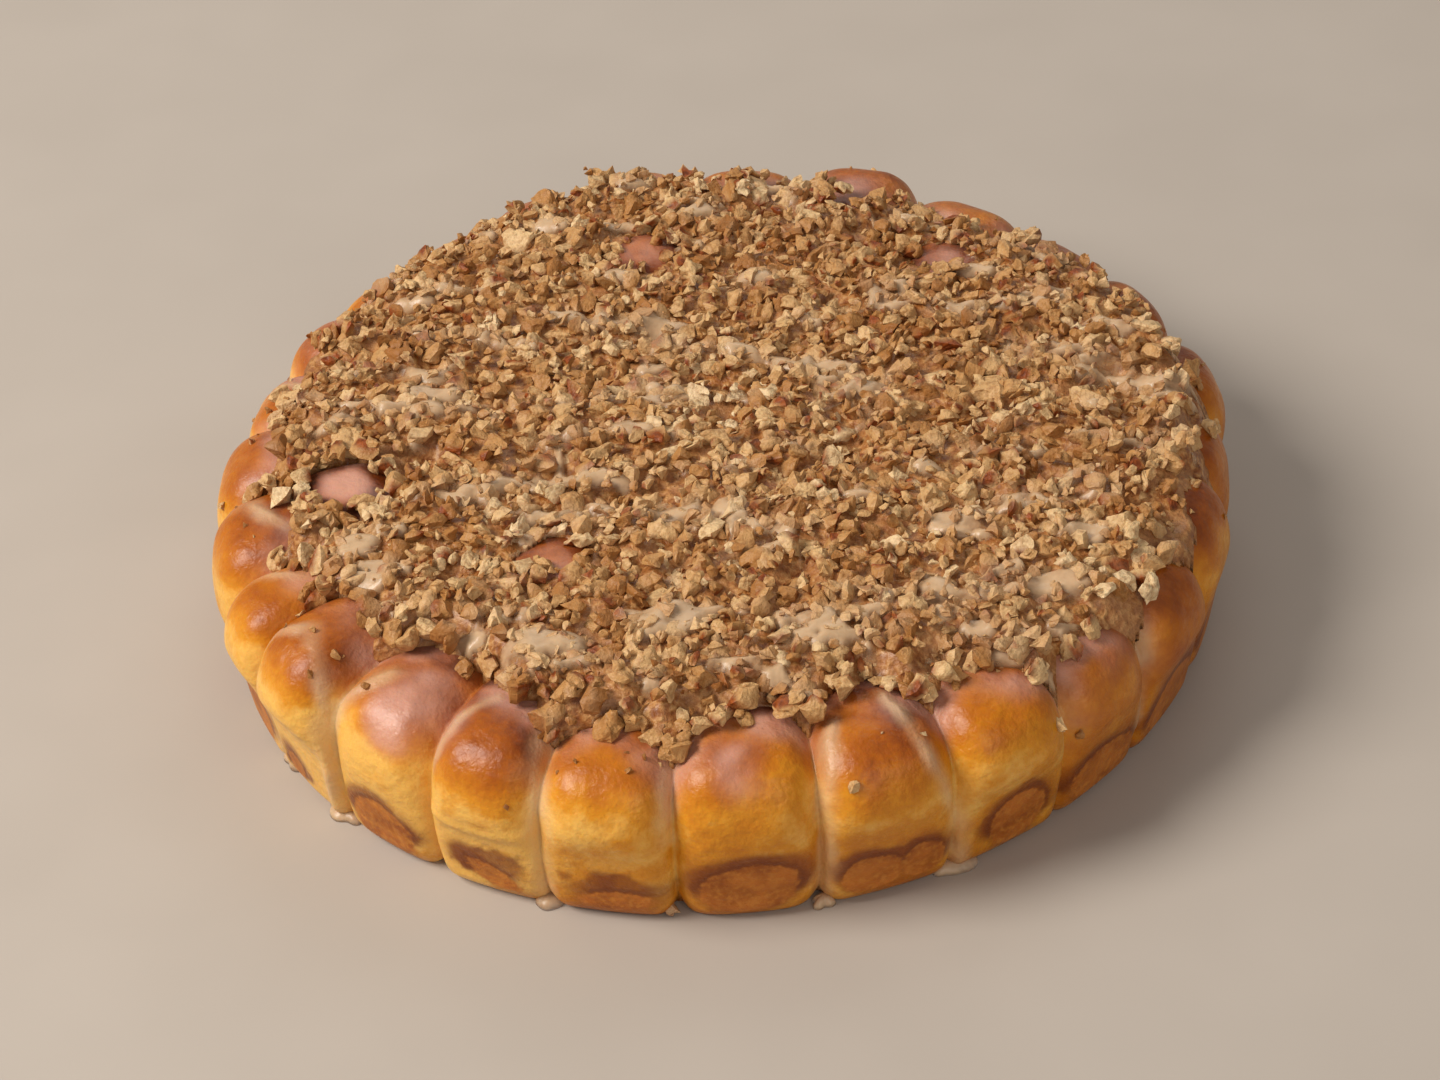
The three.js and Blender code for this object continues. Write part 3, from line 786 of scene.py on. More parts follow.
# Chopped pecans: how many, length in mm, corners of a broken block, how often its edges are cut, blocks in a
# piece, and variants
PecanKind = collections.namedtuple("PecanKind", "count length corners cuts blocks variants")
KINDS = {
    "pecans_large": PecanKind(300, (8.0, 11.0), corners=14, cuts=2, blocks=(2, 3), variants=30),
    "pecans_medium": PecanKind(1450, (5.8, 8.4), corners=12, cuts=1, blocks=(1, 3), variants=40),
    "pecans_small": PecanKind(950, (3.8, 5.8), corners=11, cuts=1, blocks=(1, 2), variants=40),
    "pecan_bits": PecanKind(800, (2.2, 3.8), corners=9, cuts=1, blocks=(1, 1), variants=30),
    "pecan_crumbs": PecanKind(1100, (1.0, 2.2), corners=8, cuts=0, blocks=(1, 1), variants=20),
}
BLOCK_RADII = (0.4, 0.5)
BLOCK_ROUNDING = 0.25
BROKEN_EDGE = math.radians(38)  # edges sharper than this look broken
KNOBS, KNOB_CELL = 0.14, 0.28  # how uneven a block is, in shares of its length
KNOB_SHAPE = (0.8, 1.4, 1.4)
CHIPS, CHIP_CELL = 0.07, 0.15
GROWN_SIZES, GROWN_REACH = (0.5, 0.75), 0.32  # of the blocks grown onto the first one
SKIN_START, SKIN_END = 0.45, 0.7
OWN_TONE, NEARBY_TONE = 0.72, 0.28  # shares of a piece's own tone and of the tone of the pecans near it
TONE_CELL, TONE_SEED = 24.0, 16  # pecans of about one tone lie together over this distance
SHADE_SEED = 5
HEAP_SEED = 77
COARSEST_KIND = "pecans_large"
PIECE_WIDTHS, PIECE_THICKNESSES = (0.7, 1.0), (0.5, 0.85)
PIECE_TILT = 0.7
SETTLE = 0.4  # how far a piece settles into what it lies on, in shares of its thickness
SETTLE_ON_SLOPES = 0.7  # and in millimetres where it lies on a slope of 45 degrees
STEEPEST = 1.3  # no piece lies where the top slopes more than this
HEAP_EDGE, OVERHANG = 6.0, 3.0  # so near the pecans' outline none starts higher than this above the layer
CANDIDATE_PLACES = 8  # a piece lies at the one of these that is lowest among its surroundings
SURROUNDINGS = 3.0
PLACES_DRAWN = 4  # at a time for each place that is needed
PLACE_MARGIN = 0.4  # in shares of the kind's greatest length
MARGIN_SPREAD = 0.7
TOP_OF_PECANS = 58.2


def unit_vectors(rng, count):
    vectors = rng.normal(size=(count, 3))
    return vectors / np.linalg.norm(vectors, axis=1)[:, None]


def broken_block(rng, corner_count, cuts):
    """Points, triangles and point normals of an uneven convex block of length 1 with broken facets."""
    block = bmesh.new()
    for direction in unit_vectors(rng, corner_count):
        block.verts.new(direction * rng.uniform(*BLOCK_RADII))
    hull = bmesh.ops.convex_hull(block, input=block.verts)
    inner = [item for item in hull["geom_interior"] if isinstance(item, bmesh.types.BMVert)]
    bmesh.ops.delete(block, geom=inner, context="VERTS")
    if cuts:
        bmesh.ops.subdivide_edges(block, edges=block.edges, cuts=cuts, use_grid_fill=True)
        all_axes = {"use_axis_x": True, "use_axis_y": True, "use_axis_z": True}
        bmesh.ops.smooth_vert(block, verts=block.verts, factor=BLOCK_ROUNDING, **all_axes)
    bmesh.ops.triangulate(block, faces=block.faces)
    block.normal_update()
    block.verts.index_update()
    points = np.array([vertex.co[:] for vertex in block.verts])
    normals = np.array([vertex.normal[:] for vertex in block.verts])
    faces = np.array([[vertex.index for vertex in face.verts] for face in block.faces])
    block.free()
    seed = int(rng.integers(1, 999))
    rough = KNOBS * noise(points * KNOB_SHAPE, KNOB_CELL, seed)
    rough += CHIPS * noise(points, CHIP_CELL, seed + 1)
    return points + rough[:, None] * normals, faces, normals


def chopped_piece(rng, sizes):
    """Points, triangles and skin of a chopped piece of length 1: broken blocks that have grown together."""
    low, high = sizes.blocks
    skin_side = unit_vectors(rng, 1)[0]
    parts, offset = [], 0
    for i in range(rng.integers(low, high + 1)):
        points, faces, normals = broken_block(rng, sizes.corners, sizes.cuts)
        if i > 0:
            points = points * rng.uniform(*GROWN_SIZES) + unit_vectors(rng, 1) * GROWN_REACH
        skin = smooth_step(SKIN_START, SKIN_END, normals @ skin_side) * (i == 0)
        parts.append((points, faces + offset, skin))
        offset += len(points)
    points, faces, skins = (np.concatenate(arrays) for arrays in zip(*parts))
    middle = (points.max(axis=0) + points.min(axis=0)) / 2
    return (points - middle) / np.ptp(points, axis=0), faces, skins


class Kind:
    """A kind of pecan piece: its shapes, and the pieces that have been laid."""

    def __init__(self, name, rng):
        self.name = name
        self.sizes = KINDS[name]
        self.shapes = [chopped_piece(rng, self.sizes) for _ in range(self.sizes.variants)]
        self.laid = []

    def corners(self, variant, sizes, turn):
        return (self.shapes[variant][0] * sizes) @ turn.T

    def lay(self, points, variant):
        self.laid.append((points, variant))

    def mesh(self, material, rng, glazed):
        """All the pieces laid, as one mesh. glazed gives the share of glaze on points."""
        starts = np.cumsum([0] + [len(points) for points, _ in self.laid])
        counts = np.diff(starts)
        faces = [self.shapes[variant][1] + start for start, (_, variant) in zip(starts, self.laid)]
        points = np.concatenate([points for points, _ in self.laid])
        nearby = 0.5 + 0.5 * noise(points[starts[:-1]], TONE_CELL, TONE_SEED)
        tones = OWN_TONE * rng.uniform(0, 1, len(counts)) + NEARBY_TONE * nearby
        piece = make_mesh(
            self.name, fitted(points), [np.concatenate(faces)], material,
            tone=np.repeat(tones, counts),
            shade=np.repeat(rng.uniform(0, 1, len(counts)), counts),
            skin=np.concatenate([self.shapes[variant][2] for _, variant in self.laid]),
            glazed=glazed(points),
        )
        piece.data.set_sharp_from_angle(angle=BROKEN_EDGE)
        return piece


def random_sizes(rng, kind, widths, thicknesses):
    """A piece's length, width and thickness, the last two drawn as shares of its length."""
    length = rng.uniform(*kind.sizes.length)
    return length * np.array((1, rng.uniform(*widths), rng.uniform(*thicknesses)))


def turned(roll, pitch, turn):
    """The rotation of a piece: rolled about X, then pitched about Y, then turned about Z."""
    return np.array(Euler((roll, pitch, turn), "XYZ").to_matrix())


class Heap:
    """Lays pecan pieces on the top, each on what lies there already."""

    def __init__(self, field, rng):
        self.field = field
        self.rng = rng
        slope = field.blurred(field.layer, 2.5).reshape(field.count, field.count)
        self.slope_x, self.slope_y = (part.ravel() for part in np.gradient(slope, FIELD_CELL))
        self.slope = np.hypot(self.slope_x, self.slope_y)

    def tilt_to_slope(self, cell):
        """A rotation from straight up to the top's normal at a cell."""
        normal = Vector((-self.slope_x[cell], -self.slope_y[cell], 1)).normalized()
        return np.array(Vector((0, 0, 1)).rotation_difference(normal).to_matrix())

    def lay(self, kind, variant, sizes, turn, x, y):
        """Lays a piece and raises the top, unless it would slide off, stand too high or overhang."""
        field = self.field
        centre = int(field.cell(x, y))
        if self.slope[centre] > STEEPEST:
            return
        corners = kind.corners(variant, sizes, self.tilt_to_slope(centre) @ turn) + (x, y, 0)
        cells = field.cell(corners[:, 0], corners[:, 1])
        settled = SETTLE * sizes[2] + SETTLE_ON_SLOPES * self.slope[centre]
        points = corners + (0, 0, (field.top[cells] - corners[:, 2]).max() - settled)
        near_edge = field.cover[centre] < HEAP_EDGE
        overhangs = near_edge and points[:, 2].min() > field.layer[centre] + OVERHANG
        if overhangs or points[:, 2].max() > TOP_OF_PECANS:
            return
        kind.lay(points, variant)
        middles = points[kind.shapes[variant][1]].mean(axis=1)
        for spots in (points, middles):
            np.maximum.at(field.top, field.cell(spots[:, 0], spots[:, 1]), spots[:, 2])

    def lay_in_dip(self, kind, places, around):
        """Lays a piece of a random shape at the place that is lowest among its surroundings."""
        rng = self.rng
        sizes = random_sizes(rng, kind, PIECE_WIDTHS, PIECE_THICKNESSES)
        roll, pitch = rng.uniform(-PIECE_TILT, PIECE_TILT), rng.uniform(-PIECE_TILT, PIECE_TILT)
        turn = turned(roll, pitch, rng.uniform(0, 2 * math.pi))
        cells = self.field.cell(places[:, 0], places[:, 1])
        x, y = places[np.argmin(self.field.top[cells] - around[cells])]
        self.lay(kind, rng.integers(len(kind.shapes)), sizes, turn, x, y)


def covered_places(rng, count, margin):
    """Random places inside the pecans' outline, give or take a share of a margin, with few in puddles."""
    places = []
    drawn = PLACES_DRAWN * count
    while len(places) < count:
        radius = FIELD_RADIUS * np.sqrt(rng.uniform(0, 1, drawn))
        azimuth = rng.uniform(0, 2 * math.pi, drawn)
        x, y = radius * np.cos(azimuth), radius * np.sin(azimuth)
        inside = cover(x, y) > margin * rng.uniform(-MARGIN_SPREAD, MARGIN_SPREAD, drawn)
        dry = puddle_share(x, y) < PUDDLE_CORE + rng.uniform(0, PUDDLE_SPREAD, drawn)
        places.extend(np.stack((x, y), axis=1)[inside & dry])
    return np.array(places[:count])


def cad_pecans():
    """The large pieces that the CAD model has: their sizes, rotations and places."""
    draw = sequence(PECAN_SEED)
    for i in range(PECAN_COUNT):
        azimuth = i * GOLDEN_ANGLE
        reach = topping_end(np.degrees(azimuth)) - PECAN_MARGIN
        radius = reach * math.sqrt((i + 0.5) / PECAN_COUNT)
        length = draw(*PECAN_LENGTH)
        sizes = np.array((length, length * draw(*PECAN_WIDTH_SHARE), length * draw(*PECAN_THICKNESS_SHARE)))
        x = radius * math.cos(azimuth) + draw(-PECAN_STRAY, PECAN_STRAY)
        y = radius * math.sin(azimuth) + draw(-PECAN_STRAY, PECAN_STRAY)
        roll, pitch = draw(-PECAN_TILT, PECAN_TILT), draw(-PECAN_TILT, PECAN_TILT)
        turn = turned(roll, pitch, draw(0, 2 * math.pi))
        if cover(np.array([x]), np.array([y]))[0] > PECAN_COVER:
            yield sizes, turn, x, y


def laid_pecans(field):
    """All the pecan pieces, laid largest first."""
    rng = np.random.default_rng(HEAP_SEED)
    heap = Heap(field, rng)
    kinds = {name: Kind(name, rng) for name in KINDS}
    large = kinds[COARSEST_KIND]
    for sizes, turn, x, y in cad_pecans():
        heap.lay(large, rng.integers(len(large.shapes)), sizes, turn, x, y)
    for kind in kinds.values():
        count = kind.sizes.count - len(kind.laid)
        places = covered_places(rng, count * CANDIDATE_PLACES, PLACE_MARGIN * kind.sizes.length[1])
        rng.shuffle(places)
        around = field.blurred(field.top, SURROUNDINGS)
        for candidates in places.reshape(count, CANDIDATE_PLACES, 2):
            heap.lay_in_dip(kind, candidates, around)
    return kinds


def linear(red, green, blue):
    """A colour given as screen values from 0 to 255, as Blender's linear one."""
    shares = np.array((red, green, blue)) / 255
    values = np.where(shares <= 0.04045, shares / 12.92, ((shares + 0.055) / 1.055) ** 2.4)
    return (*values.tolist(), 1.0)


# Colours. Those of a ramp come with their places on it
CRUST_COLOURS = (
    (0.0, linear(230, 176, 84)),
    (0.2, linear(210, 138, 30)),
    (0.42, linear(186, 108, 14)),
    (0.64, linear(162, 84, 14)),
    (0.84, linear(126, 58, 12)),
    (1.0, linear(84, 36, 12)),
)
SCORCHED_CRUST = linear(128, 60, 8)
MARK_COLOURS = ((0.35, linear(156, 82, 16)), (0.65, linear(192, 112, 36)))
MARK_SPECKS = linear(204, 134, 56)
MARK_RIM_COLOUR = linear(112, 50, 6)
MILK = linear(208, 174, 136)
THIN_MILK = linear(180, 134, 92)
VEIL = linear(206, 156, 138)
# the layer between the pecans: glaze and crumbs, darkened partly as painted shade in the gaps
LAYER_AND_GAP_SHADE_COLOURS = ((0.34, linear(128, 70, 24)), (0.5, linear(162, 104, 52)), (0.66, linear(196, 146, 90)))
LAYER_PATCHES = linear(178, 128, 84)
FLESH_COLOURS = (
    (0.05, linear(146, 90, 40)),
    (0.28, linear(176, 125, 70)),
    (0.56, linear(197, 153, 100)),
    (0.8, linear(212, 175, 124)),
    (0.96, linear(230, 203, 160)),
)
FLESH_GRAIN = linear(144, 92, 44)
SKIN_COLOURS = ((0.3, linear(96, 42, 14)), (0.7, linear(158, 80, 30)))
FLOOR_COLOURS = ((0.3, linear(176, 166, 156)), (0.7, linear(180, 170, 160)))


class Nodes:
    """Builds a material's node tree."""

    def __init__(self, name):
        self.material = bpy.data.materials.new(name)
        self.material.use_nodes = True
        self.tree = self.material.node_tree
        self.shader = self.tree.nodes["Principled BSDF"]

    def link(self, source, target):
        self.tree.links.new(source, target)

    def fill(self, socket, value):
        """Links a socket to another node's output, or sets its value."""
        if isinstance(value, bpy.types.NodeSocket):
            self.link(value, socket)
        else:
            socket.default_value = value

    def attribute(self, name):
        node = self.tree.nodes.new("ShaderNodeAttribute")
        node.attribute_name = name
        return node.outputs["Fac"]

    def noise(self, size_mm, detail=2.0):
        """Noise from about 0 to 1 whose blobs are about that size."""
        place = self.tree.nodes.new("ShaderNodeTexCoord")
        node = self.tree.nodes.new("ShaderNodeTexNoise")
        self.link(place.outputs["Object"], node.inputs["Vector"])
        node.inputs["Scale"].default_value = 1 / (size_mm * MM)
        node.inputs["Detail"].default_value = detail
        return node.outputs["Fac"]

    def ramp(self, value, stops):
        """Colours at places along a value."""
        node = self.tree.nodes.new("ShaderNodeValToRGB")
        self.link(value, node.inputs["Fac"])
        elements = node.color_ramp.elements
        while len(elements) < len(stops):
            elements.new(0.5)
        for element, (place, colour) in zip(elements, stops):
            element.position = place
            element.color = colour
        return node.outputs["Color"]

    def span(self, value, low, high, to_low=0.0, to_high=1.0):
        """A value from low to high as one from to_low to to_high, with smooth ends."""
        node = self.tree.nodes.new("ShaderNodeMapRange")
        node.interpolation_type = "SMOOTHSTEP"
        self.fill(node.inputs["Value"], value)
        ends = {"From Min": low, "From Max": high, "To Min": to_low, "To Max": to_high}
        for name, number in ends.items():
            node.inputs[name].default_value = number
        return node.outputs["Result"]

    def math(self, operation, first, second):
        node = self.tree.nodes.new("ShaderNodeMath")
        node.operation = operation
        self.fill(node.inputs[0], first)
        self.fill(node.inputs[1], second)
        return node.outputs[0]

    def mix(self, share, first, second):
        """A colour with a share of a second one."""
        node = self.tree.nodes.new("ShaderNodeMix")
        node.data_type = "RGBA"
        self.fill(node.inputs["Factor"], share)
        self.fill(node.inputs[6], first)
        self.fill(node.inputs[7], second)
        return node.outputs[2]

    def bump(self, height, depth_mm, before=None):
        node = self.tree.nodes.new("ShaderNodeBump")
        node.inputs["Distance"].default_value = depth_mm * MM
        self.link(height, node.inputs["Height"])
        if before is not None:
            self.link(before, node.inputs["Normal"])
        return node.outputs["Normal"]

    def finish(self, **sockets):
        """The material, with these sockets of its shader filled. An underscore stands for a space."""
        for name, value in sockets.items():
            self.fill(self.shader.inputs[name.replace("_", " ")], value)
        return self.material


def baked_and_painted_light_colour(nodes, mottle, fine):
    """The colour of the crust by how baked it is and by painted light and shade, and how scorched it is."""
    baked = nodes.math("ADD", nodes.attribute("toast_and_painted_light"), nodes.span(mottle, 0.3, 0.7, -0.08, 0.08))
    baked = nodes.math("ADD", baked, nodes.span(fine, 0.3, 0.7, -0.03, 0.03))
    scorched = nodes.span(nodes.attribute("scorch"), 0.0, 0.8)
    scorched = nodes.math("MULTIPLY", scorched, nodes.span(mottle, 0.35, 0.65, 0.95, 0.7))
    return nodes.mix(scorched, nodes.ramp(baked, CRUST_COLOURS), SCORCHED_CRUST), scorched


def marked_colour(nodes, colour, scorched, mottle, fine):
    """The colour of the crust with the pan's marks and their dark rims, and where the pan pressed it."""
    mark = nodes.math("ADD", nodes.attribute("mark"), nodes.span(fine, 0.3, 0.7, -0.3, 0.3))
    on_pan = nodes.mix(nodes.span(fine, 0.42, 0.7, 0.0, 0.6), nodes.ramp(mottle, MARK_COLOURS), MARK_SPECKS)
    pressed = nodes.span(mark, -0.4, 0.9)
    unscorched = nodes.math("SUBTRACT", 1.0, nodes.math("MULTIPLY", scorched, 0.35))
    colour = nodes.mix(nodes.math("MULTIPLY", pressed, unscorched), colour, on_pan)
    rim = nodes.math("MULTIPLY", nodes.span(mark, -1.8, -0.1), nodes.span(mark, 1.0, 0.1))
    rim = nodes.math("MULTIPLY", rim, nodes.span(scorched, 0.0, 0.9, 0.25, 0.75))
    return nodes.mix(rim, colour, MARK_RIM_COLOUR), pressed


def crust_material():
    """Baked crust: golden sides, brown tops, matte marks of the pan, and a film of glaze."""
    nodes = Nodes("crust")
    mottle = nodes.noise(7.0, 3.0)
    fine = nodes.noise(1.6, 3.0)
    colour, scorched = baked_and_painted_light_colour(nodes, mottle, fine)
    colour, pressed = marked_colour(nodes, colour, scorched, mottle, fine)
    colour = nodes.mix(nodes.span(nodes.attribute("veil"), 0.0, THICKEST_VEIL, 0.0, 0.76), colour, VEIL)
    colour = nodes.mix(nodes.math("MULTIPLY", nodes.attribute("run"), 0.7), colour, MILK)
    roughness = nodes.span(fine, 0.2, 0.8, 0.32, 0.48)
    roughness = nodes.math("ADD", roughness, nodes.math("MULTIPLY", pressed, 0.15))
    bump = nodes.bump(nodes.noise(0.9, 3.0), 0.14)
    bump = nodes.bump(nodes.noise(3.0, 3.0), 0.6, bump)
    return nodes.finish(
        Base_Color=colour,
        Roughness=roughness,
        Normal=bump,
        Specular_IOR_Level=0.25,
        Coat_Weight=0.14,
        Coat_Roughness=0.22,
        Subsurface_Weight=0.16,
        Subsurface_Radius=(0.004, 0.0014, 0.0004),
        Subsurface_Scale=1.0,
    )


def layer_material():
    """The brown glaze and fine crumbs under the chopped pecans, coloured darker partly as painted shade in
    the gaps between them.
    """
    nodes = Nodes("glaze_crumbs_and_gap_shade")
    grain = nodes.noise(1.8, 4.0)
    patches = nodes.span(nodes.noise(9.0), 0.4, 0.65, 0.0, 0.55)
    return nodes.finish(
        Base_Color=nodes.mix(patches, nodes.ramp(grain, LAYER_AND_GAP_SHADE_COLOURS), LAYER_PATCHES),
        Roughness=0.4,
        Normal=nodes.bump(grain, 1.2),
        Specular_IOR_Level=0.3,
        Coat_Weight=0.2,
        Coat_Roughness=0.2,
    )


def milk_material():
    """Milky glaze: pale where it is deep, brown showing through where it is thin."""
    nodes = Nodes("milky_glaze")
    patch = nodes.noise(5.0, 3.0)
    depth = nodes.math("ADD", nodes.attribute("lift"), nodes.span(patch, 0.3, 0.7, -0.7, 0.7))
    return nodes.finish(
        Base_Color=nodes.ramp(nodes.span(depth, -0.4, 2.4), ((0.0, THIN_MILK), (1.0, MILK))),
        Alpha=nodes.span(depth, -0.7, 2.8, 0.1, 0.85),
        Roughness=0.36,
        Normal=nodes.bump(patch, 0.6),
        Coat_Weight=0.08,
        Coat_Roughness=0.15,
        Subsurface_Weight=0.2,
        Subsurface_Radius=(0.002, 0.0014, 0.001),
        Subsurface_Scale=1.0,
    )


def pecan_material():
    """Chopped pecan: tan flesh and reddish brown skin, with glaze on some of it."""
    nodes = Nodes("pecan")
    grain = nodes.noise(1.4, 3.0)
    flesh = nodes.ramp(nodes.attribute("tone"), FLESH_COLOURS)
    flesh = nodes.mix(nodes.span(grain, 0.42, 0.7, 0.0, 0.55), flesh, FLESH_GRAIN)
    with_skin = nodes.span(nodes.attribute("shade"), 0.4, 0.45)
    skinned = nodes.math("MULTIPLY", nodes.attribute("skin"), with_skin)
    colour = nodes.mix(skinned, flesh, nodes.ramp(grain, SKIN_COLOURS))
    colour = nodes.mix(nodes.math("MULTIPLY", nodes.attribute("glazed"), 0.5), colour, MILK)
    return nodes.finish(
        Base_Color=colour,
        Roughness=0.45,
        Normal=nodes.bump(nodes.noise(0.6), 0.16, nodes.bump(grain, 0.7)),
        Specular_IOR_Level=0.3,
        Subsurface_Weight=0.1,
        Subsurface_Radius=(0.0016, 0.0009, 0.0005),
        Subsurface_Scale=1.0,
    )


def floor_material():
    nodes = Nodes("floor")
    return nodes.finish(Base_Color=nodes.ramp(nodes.noise(60.0), FLOOR_COLOURS), Roughness=0.8)


def to_azimuth(azimuths, azimuth):
    """Azimuths as degrees from one of them, from -180 to 180."""
    return np.mod(azimuths - azimuth + 180, 360) - 180


def beside(surface, bun, across):
    """How far beside a place across an edge bun each point lies, in millimetres."""
    azimuth = EDGE[bun].azimuth + across * EDGE[bun].half_span
    return to_azimuth(surface.all_azimuths, azimuth) * MM_PER_AZIMUTH


def mark_depth(surface, bun, across, tilt, shares):
    """How far inside one mark of the pan each point lies, in millimetres. It is negative outside."""
    half_width, half_height, height = np.array(MARK_SIZE) * shares
    x = beside(surface, bun, across)
    y = surface.points[:, 2] - height
    cos, sin = math.cos(math.radians(tilt)), math.sin(math.radians(tilt))
    along, up = x * cos + y * sin, y * cos - x * sin
    return (1 - np.hypot(along / half_width, up / half_height)) * min(half_width, half_height)


def pan_marks(surface):
    """How far inside a mark of the pan each point lies, in millimetres, and how scorched it is round it."""
    rng = np.random.default_rng(MARK_SEED)
    others = {mark[0] for mark in OTHER_MARKS}
    marks = list(OTHER_MARKS)
    for bun in range(len(EDGE)):
        across, tilt = rng.uniform(-MARK_STRAY, MARK_STRAY), rng.uniform(-MARK_TILT, MARK_TILT)
        shares = rng.uniform(*MARK_SHARES, 3)
        if bun not in others:
            marks.append((bun, across, tilt, shares))
    depth = np.max([mark_depth(surface, *mark) for mark in marks], axis=0)
    depth += mixed_noise(surface.points, *MARK_RIM)
    depth = np.where(surface.elevation > MARKED_ELEVATION, UNMARKED, depth)
    patchy = np.clip(0.85 + mixed_noise(surface.points, MARK_PATCHES), 0, 1)
    halo = smooth_step(-6.0, -0.2, depth) * smooth_step(5.0, 13.0, surface.points[:, 2])
    return depth, np.maximum(halo * patchy, scorched_patches(surface))


def scorched_patches(surface):
    """1 in the middle of the darkly baked patches near the foot, 0 outside them."""
    share = np.zeros(len(surface.points))
    ragged = mixed_noise(surface.points, *SCORCH_RIM)
    for bun, across, height, half_width, half_height in SCORCHES:
        along = beside(surface, bun, across) / half_width
        up = (surface.points[:, 2] - height) / half_height
        share = np.maximum(share, smooth_step(1.25, 0.45, np.hypot(along, up) + ragged))
    return np.where(surface.elevation > MARKED_ELEVATION, 0, share)


def gap_to_path(x, y, corners):
    """How far points are from a path of straight lines."""
    gaps = []
    for (x0, y0), (x1, y1) in itertools.pairwise(corners):
        along_x, along_y = x1 - x0, y1 - y0
        share = ((x - x0) * along_x + (y - y0) * along_y) / (along_x ** 2 + along_y ** 2)
        share = np.clip(share, 0, 1)
        gaps.append(np.hypot(x - x0 - share * along_x, y - y0 - share * along_y))
    return np.min(gaps, axis=0)


def run_glaze(surface):
    """How deep the runs of glaze lie on each point, and their film from 0 to 1."""
    widths = 1 + mixed_noise(surface.points, *RUN_WIDTHS)
    drift = mixed_noise(surface.points, RUN_DRIFT)
    place_y = surface.elevation * MM_PER_ELEVATION
    depth = np.zeros(len(surface.points))
    film = np.zeros(len(surface.points))
    for path, half_width, run_depth in RUNS:
        first = path[0][0]
        place_x = to_azimuth(surface.all_azimuths, first) * MM_PER_AZIMUTH + drift
        corners = [
            (to_azimuth(azimuth, first) * MM_PER_AZIMUTH, rise * MM_PER_ELEVATION) for azimuth, rise in path
        ]
        inside = gap_to_path(place_x, place_y, corners) / (half_width * widths)
        depth = np.maximum(depth, run_depth * smooth_step(1.2, 0.0, inside))
        film = np.maximum(film, smooth_step(2.1, 0.0, inside))
    patchy = np.clip(0.7 + mixed_noise(surface.points, RUN_PATCHES), 0.3, 1)
    return depth * patchy, film * patchy


def fold_places(surface):
    """How many degrees above the fold each point lies, and 1 where there is a fold."""
    folded = (surface.all_buns == FOLDED_BUN) * smooth_step(1.0, 0.8, surface.all_across)
    return surface.elevation - FOLD_ELEVATION - FOLD_CURVE * surface.all_across ** 2, folded


def crust_relief(surface, marks, runs):
    """How far the crust stands out from the plain form along each ray, in millimetres."""
    points = surface.points
    pressed = smooth_step(-5.0, 2.0, surface.squeeze)
    lumps = mixed_noise(points, LUMPS, DIMPLES) * (1 - pressed)
    wrinkled = smooth_step(0.6, 1.0, surface.all_across) * (points[:, 2] > 0)
    wrinkles = mixed_noise(points * WRINKLE_SHAPE, WRINKLES) * wrinkled
    round_marks = MARK_RECESS * pressed * smooth_step(0.6, -3.0, marks)
    fold, folded = fold_places(surface)
    fold_height = FOLD_HEIGHT * smooth_step(-6, 0, fold) * smooth_step(7, 1, fold) * folded
    relief = lumps + wrinkles + round_marks + fold_height + runs - RELIEF_ROOM
    return relief * smooth_step(0.0, 3.0, points[:, 2])


def glaze_and_highlight_on_domes(points):
    """How thick the film of glaze is on the top: thick on the proud domes and thin elsewhere. Over a proud
    dome's middle it is partly a painted highlight.
    """
    film = np.full(len(points), THINNEST_FILM)
    for spot, (_, thickness) in zip(PROUD_BUNS, PROUD_LOOKS):
        near = smooth_step(3.0, -5.0, beyond_spots(points, (spot,)))
        film = np.maximum(film, thickness * near)
    return film


def browning_and_painted_light(surface):
    """How brown the crust is baked, apart from the glazed domes, with painted light on the left and painted
    shade on the right.
    """
    x, z = surface.points[:, 0], surface.points[:, 2]
    bun_browns = np.random.default_rng(BUN_BROWN_SEED).uniform(*BUN_BROWNS, len(EDGE))
    toast_and_painted_light = SIDE_BROWN + TOP_BROWN * smooth_step(34, 49, z) + bun_browns[surface.all_buns]
    # painted light: paler on the left, the side that faces the key light
    toast_and_painted_light -= PAINTED_LIGHT_SIDE * smooth_step(PAINTED_LIGHT_SIDE_START, PAINTED_LIGHT_SIDE_END, x) * smooth_step(46, 34, z)
    # painted shade: browner on the right, the side away from the key light
    toast_and_painted_light += PAINTED_SHADE_SIDE * smooth_step(PAINTED_SHADE_SIDE_START, PAINTED_SHADE_SIDE_END, x)
    toast_and_painted_light += mixed_noise(surface.points, *BLOTCHES)
    toast_and_painted_light -= CREASE_PALENESS * smooth_step(0.5, 1.0, surface.all_across) * smooth_step(46, 36, z)
    toast_and_painted_light += FOOT_BROWN * smooth_step(8, 1, z) + WALL_BROWN * smooth_step(26, 18, z)
    toast_and_painted_light -= PALENESS * np.isin(surface.all_buns, PALE_BUNS) * smooth_step(40, 30, z)
    fold, folded = fold_places(surface)
    toast_and_painted_light -= FOLD_PALENESS * folded * smooth_step(-4, 0, fold) * smooth_step(4, 1, fold)
    return toast_and_painted_light + OVER_FOLD_BROWN * folded * smooth_step(2, 9, fold)


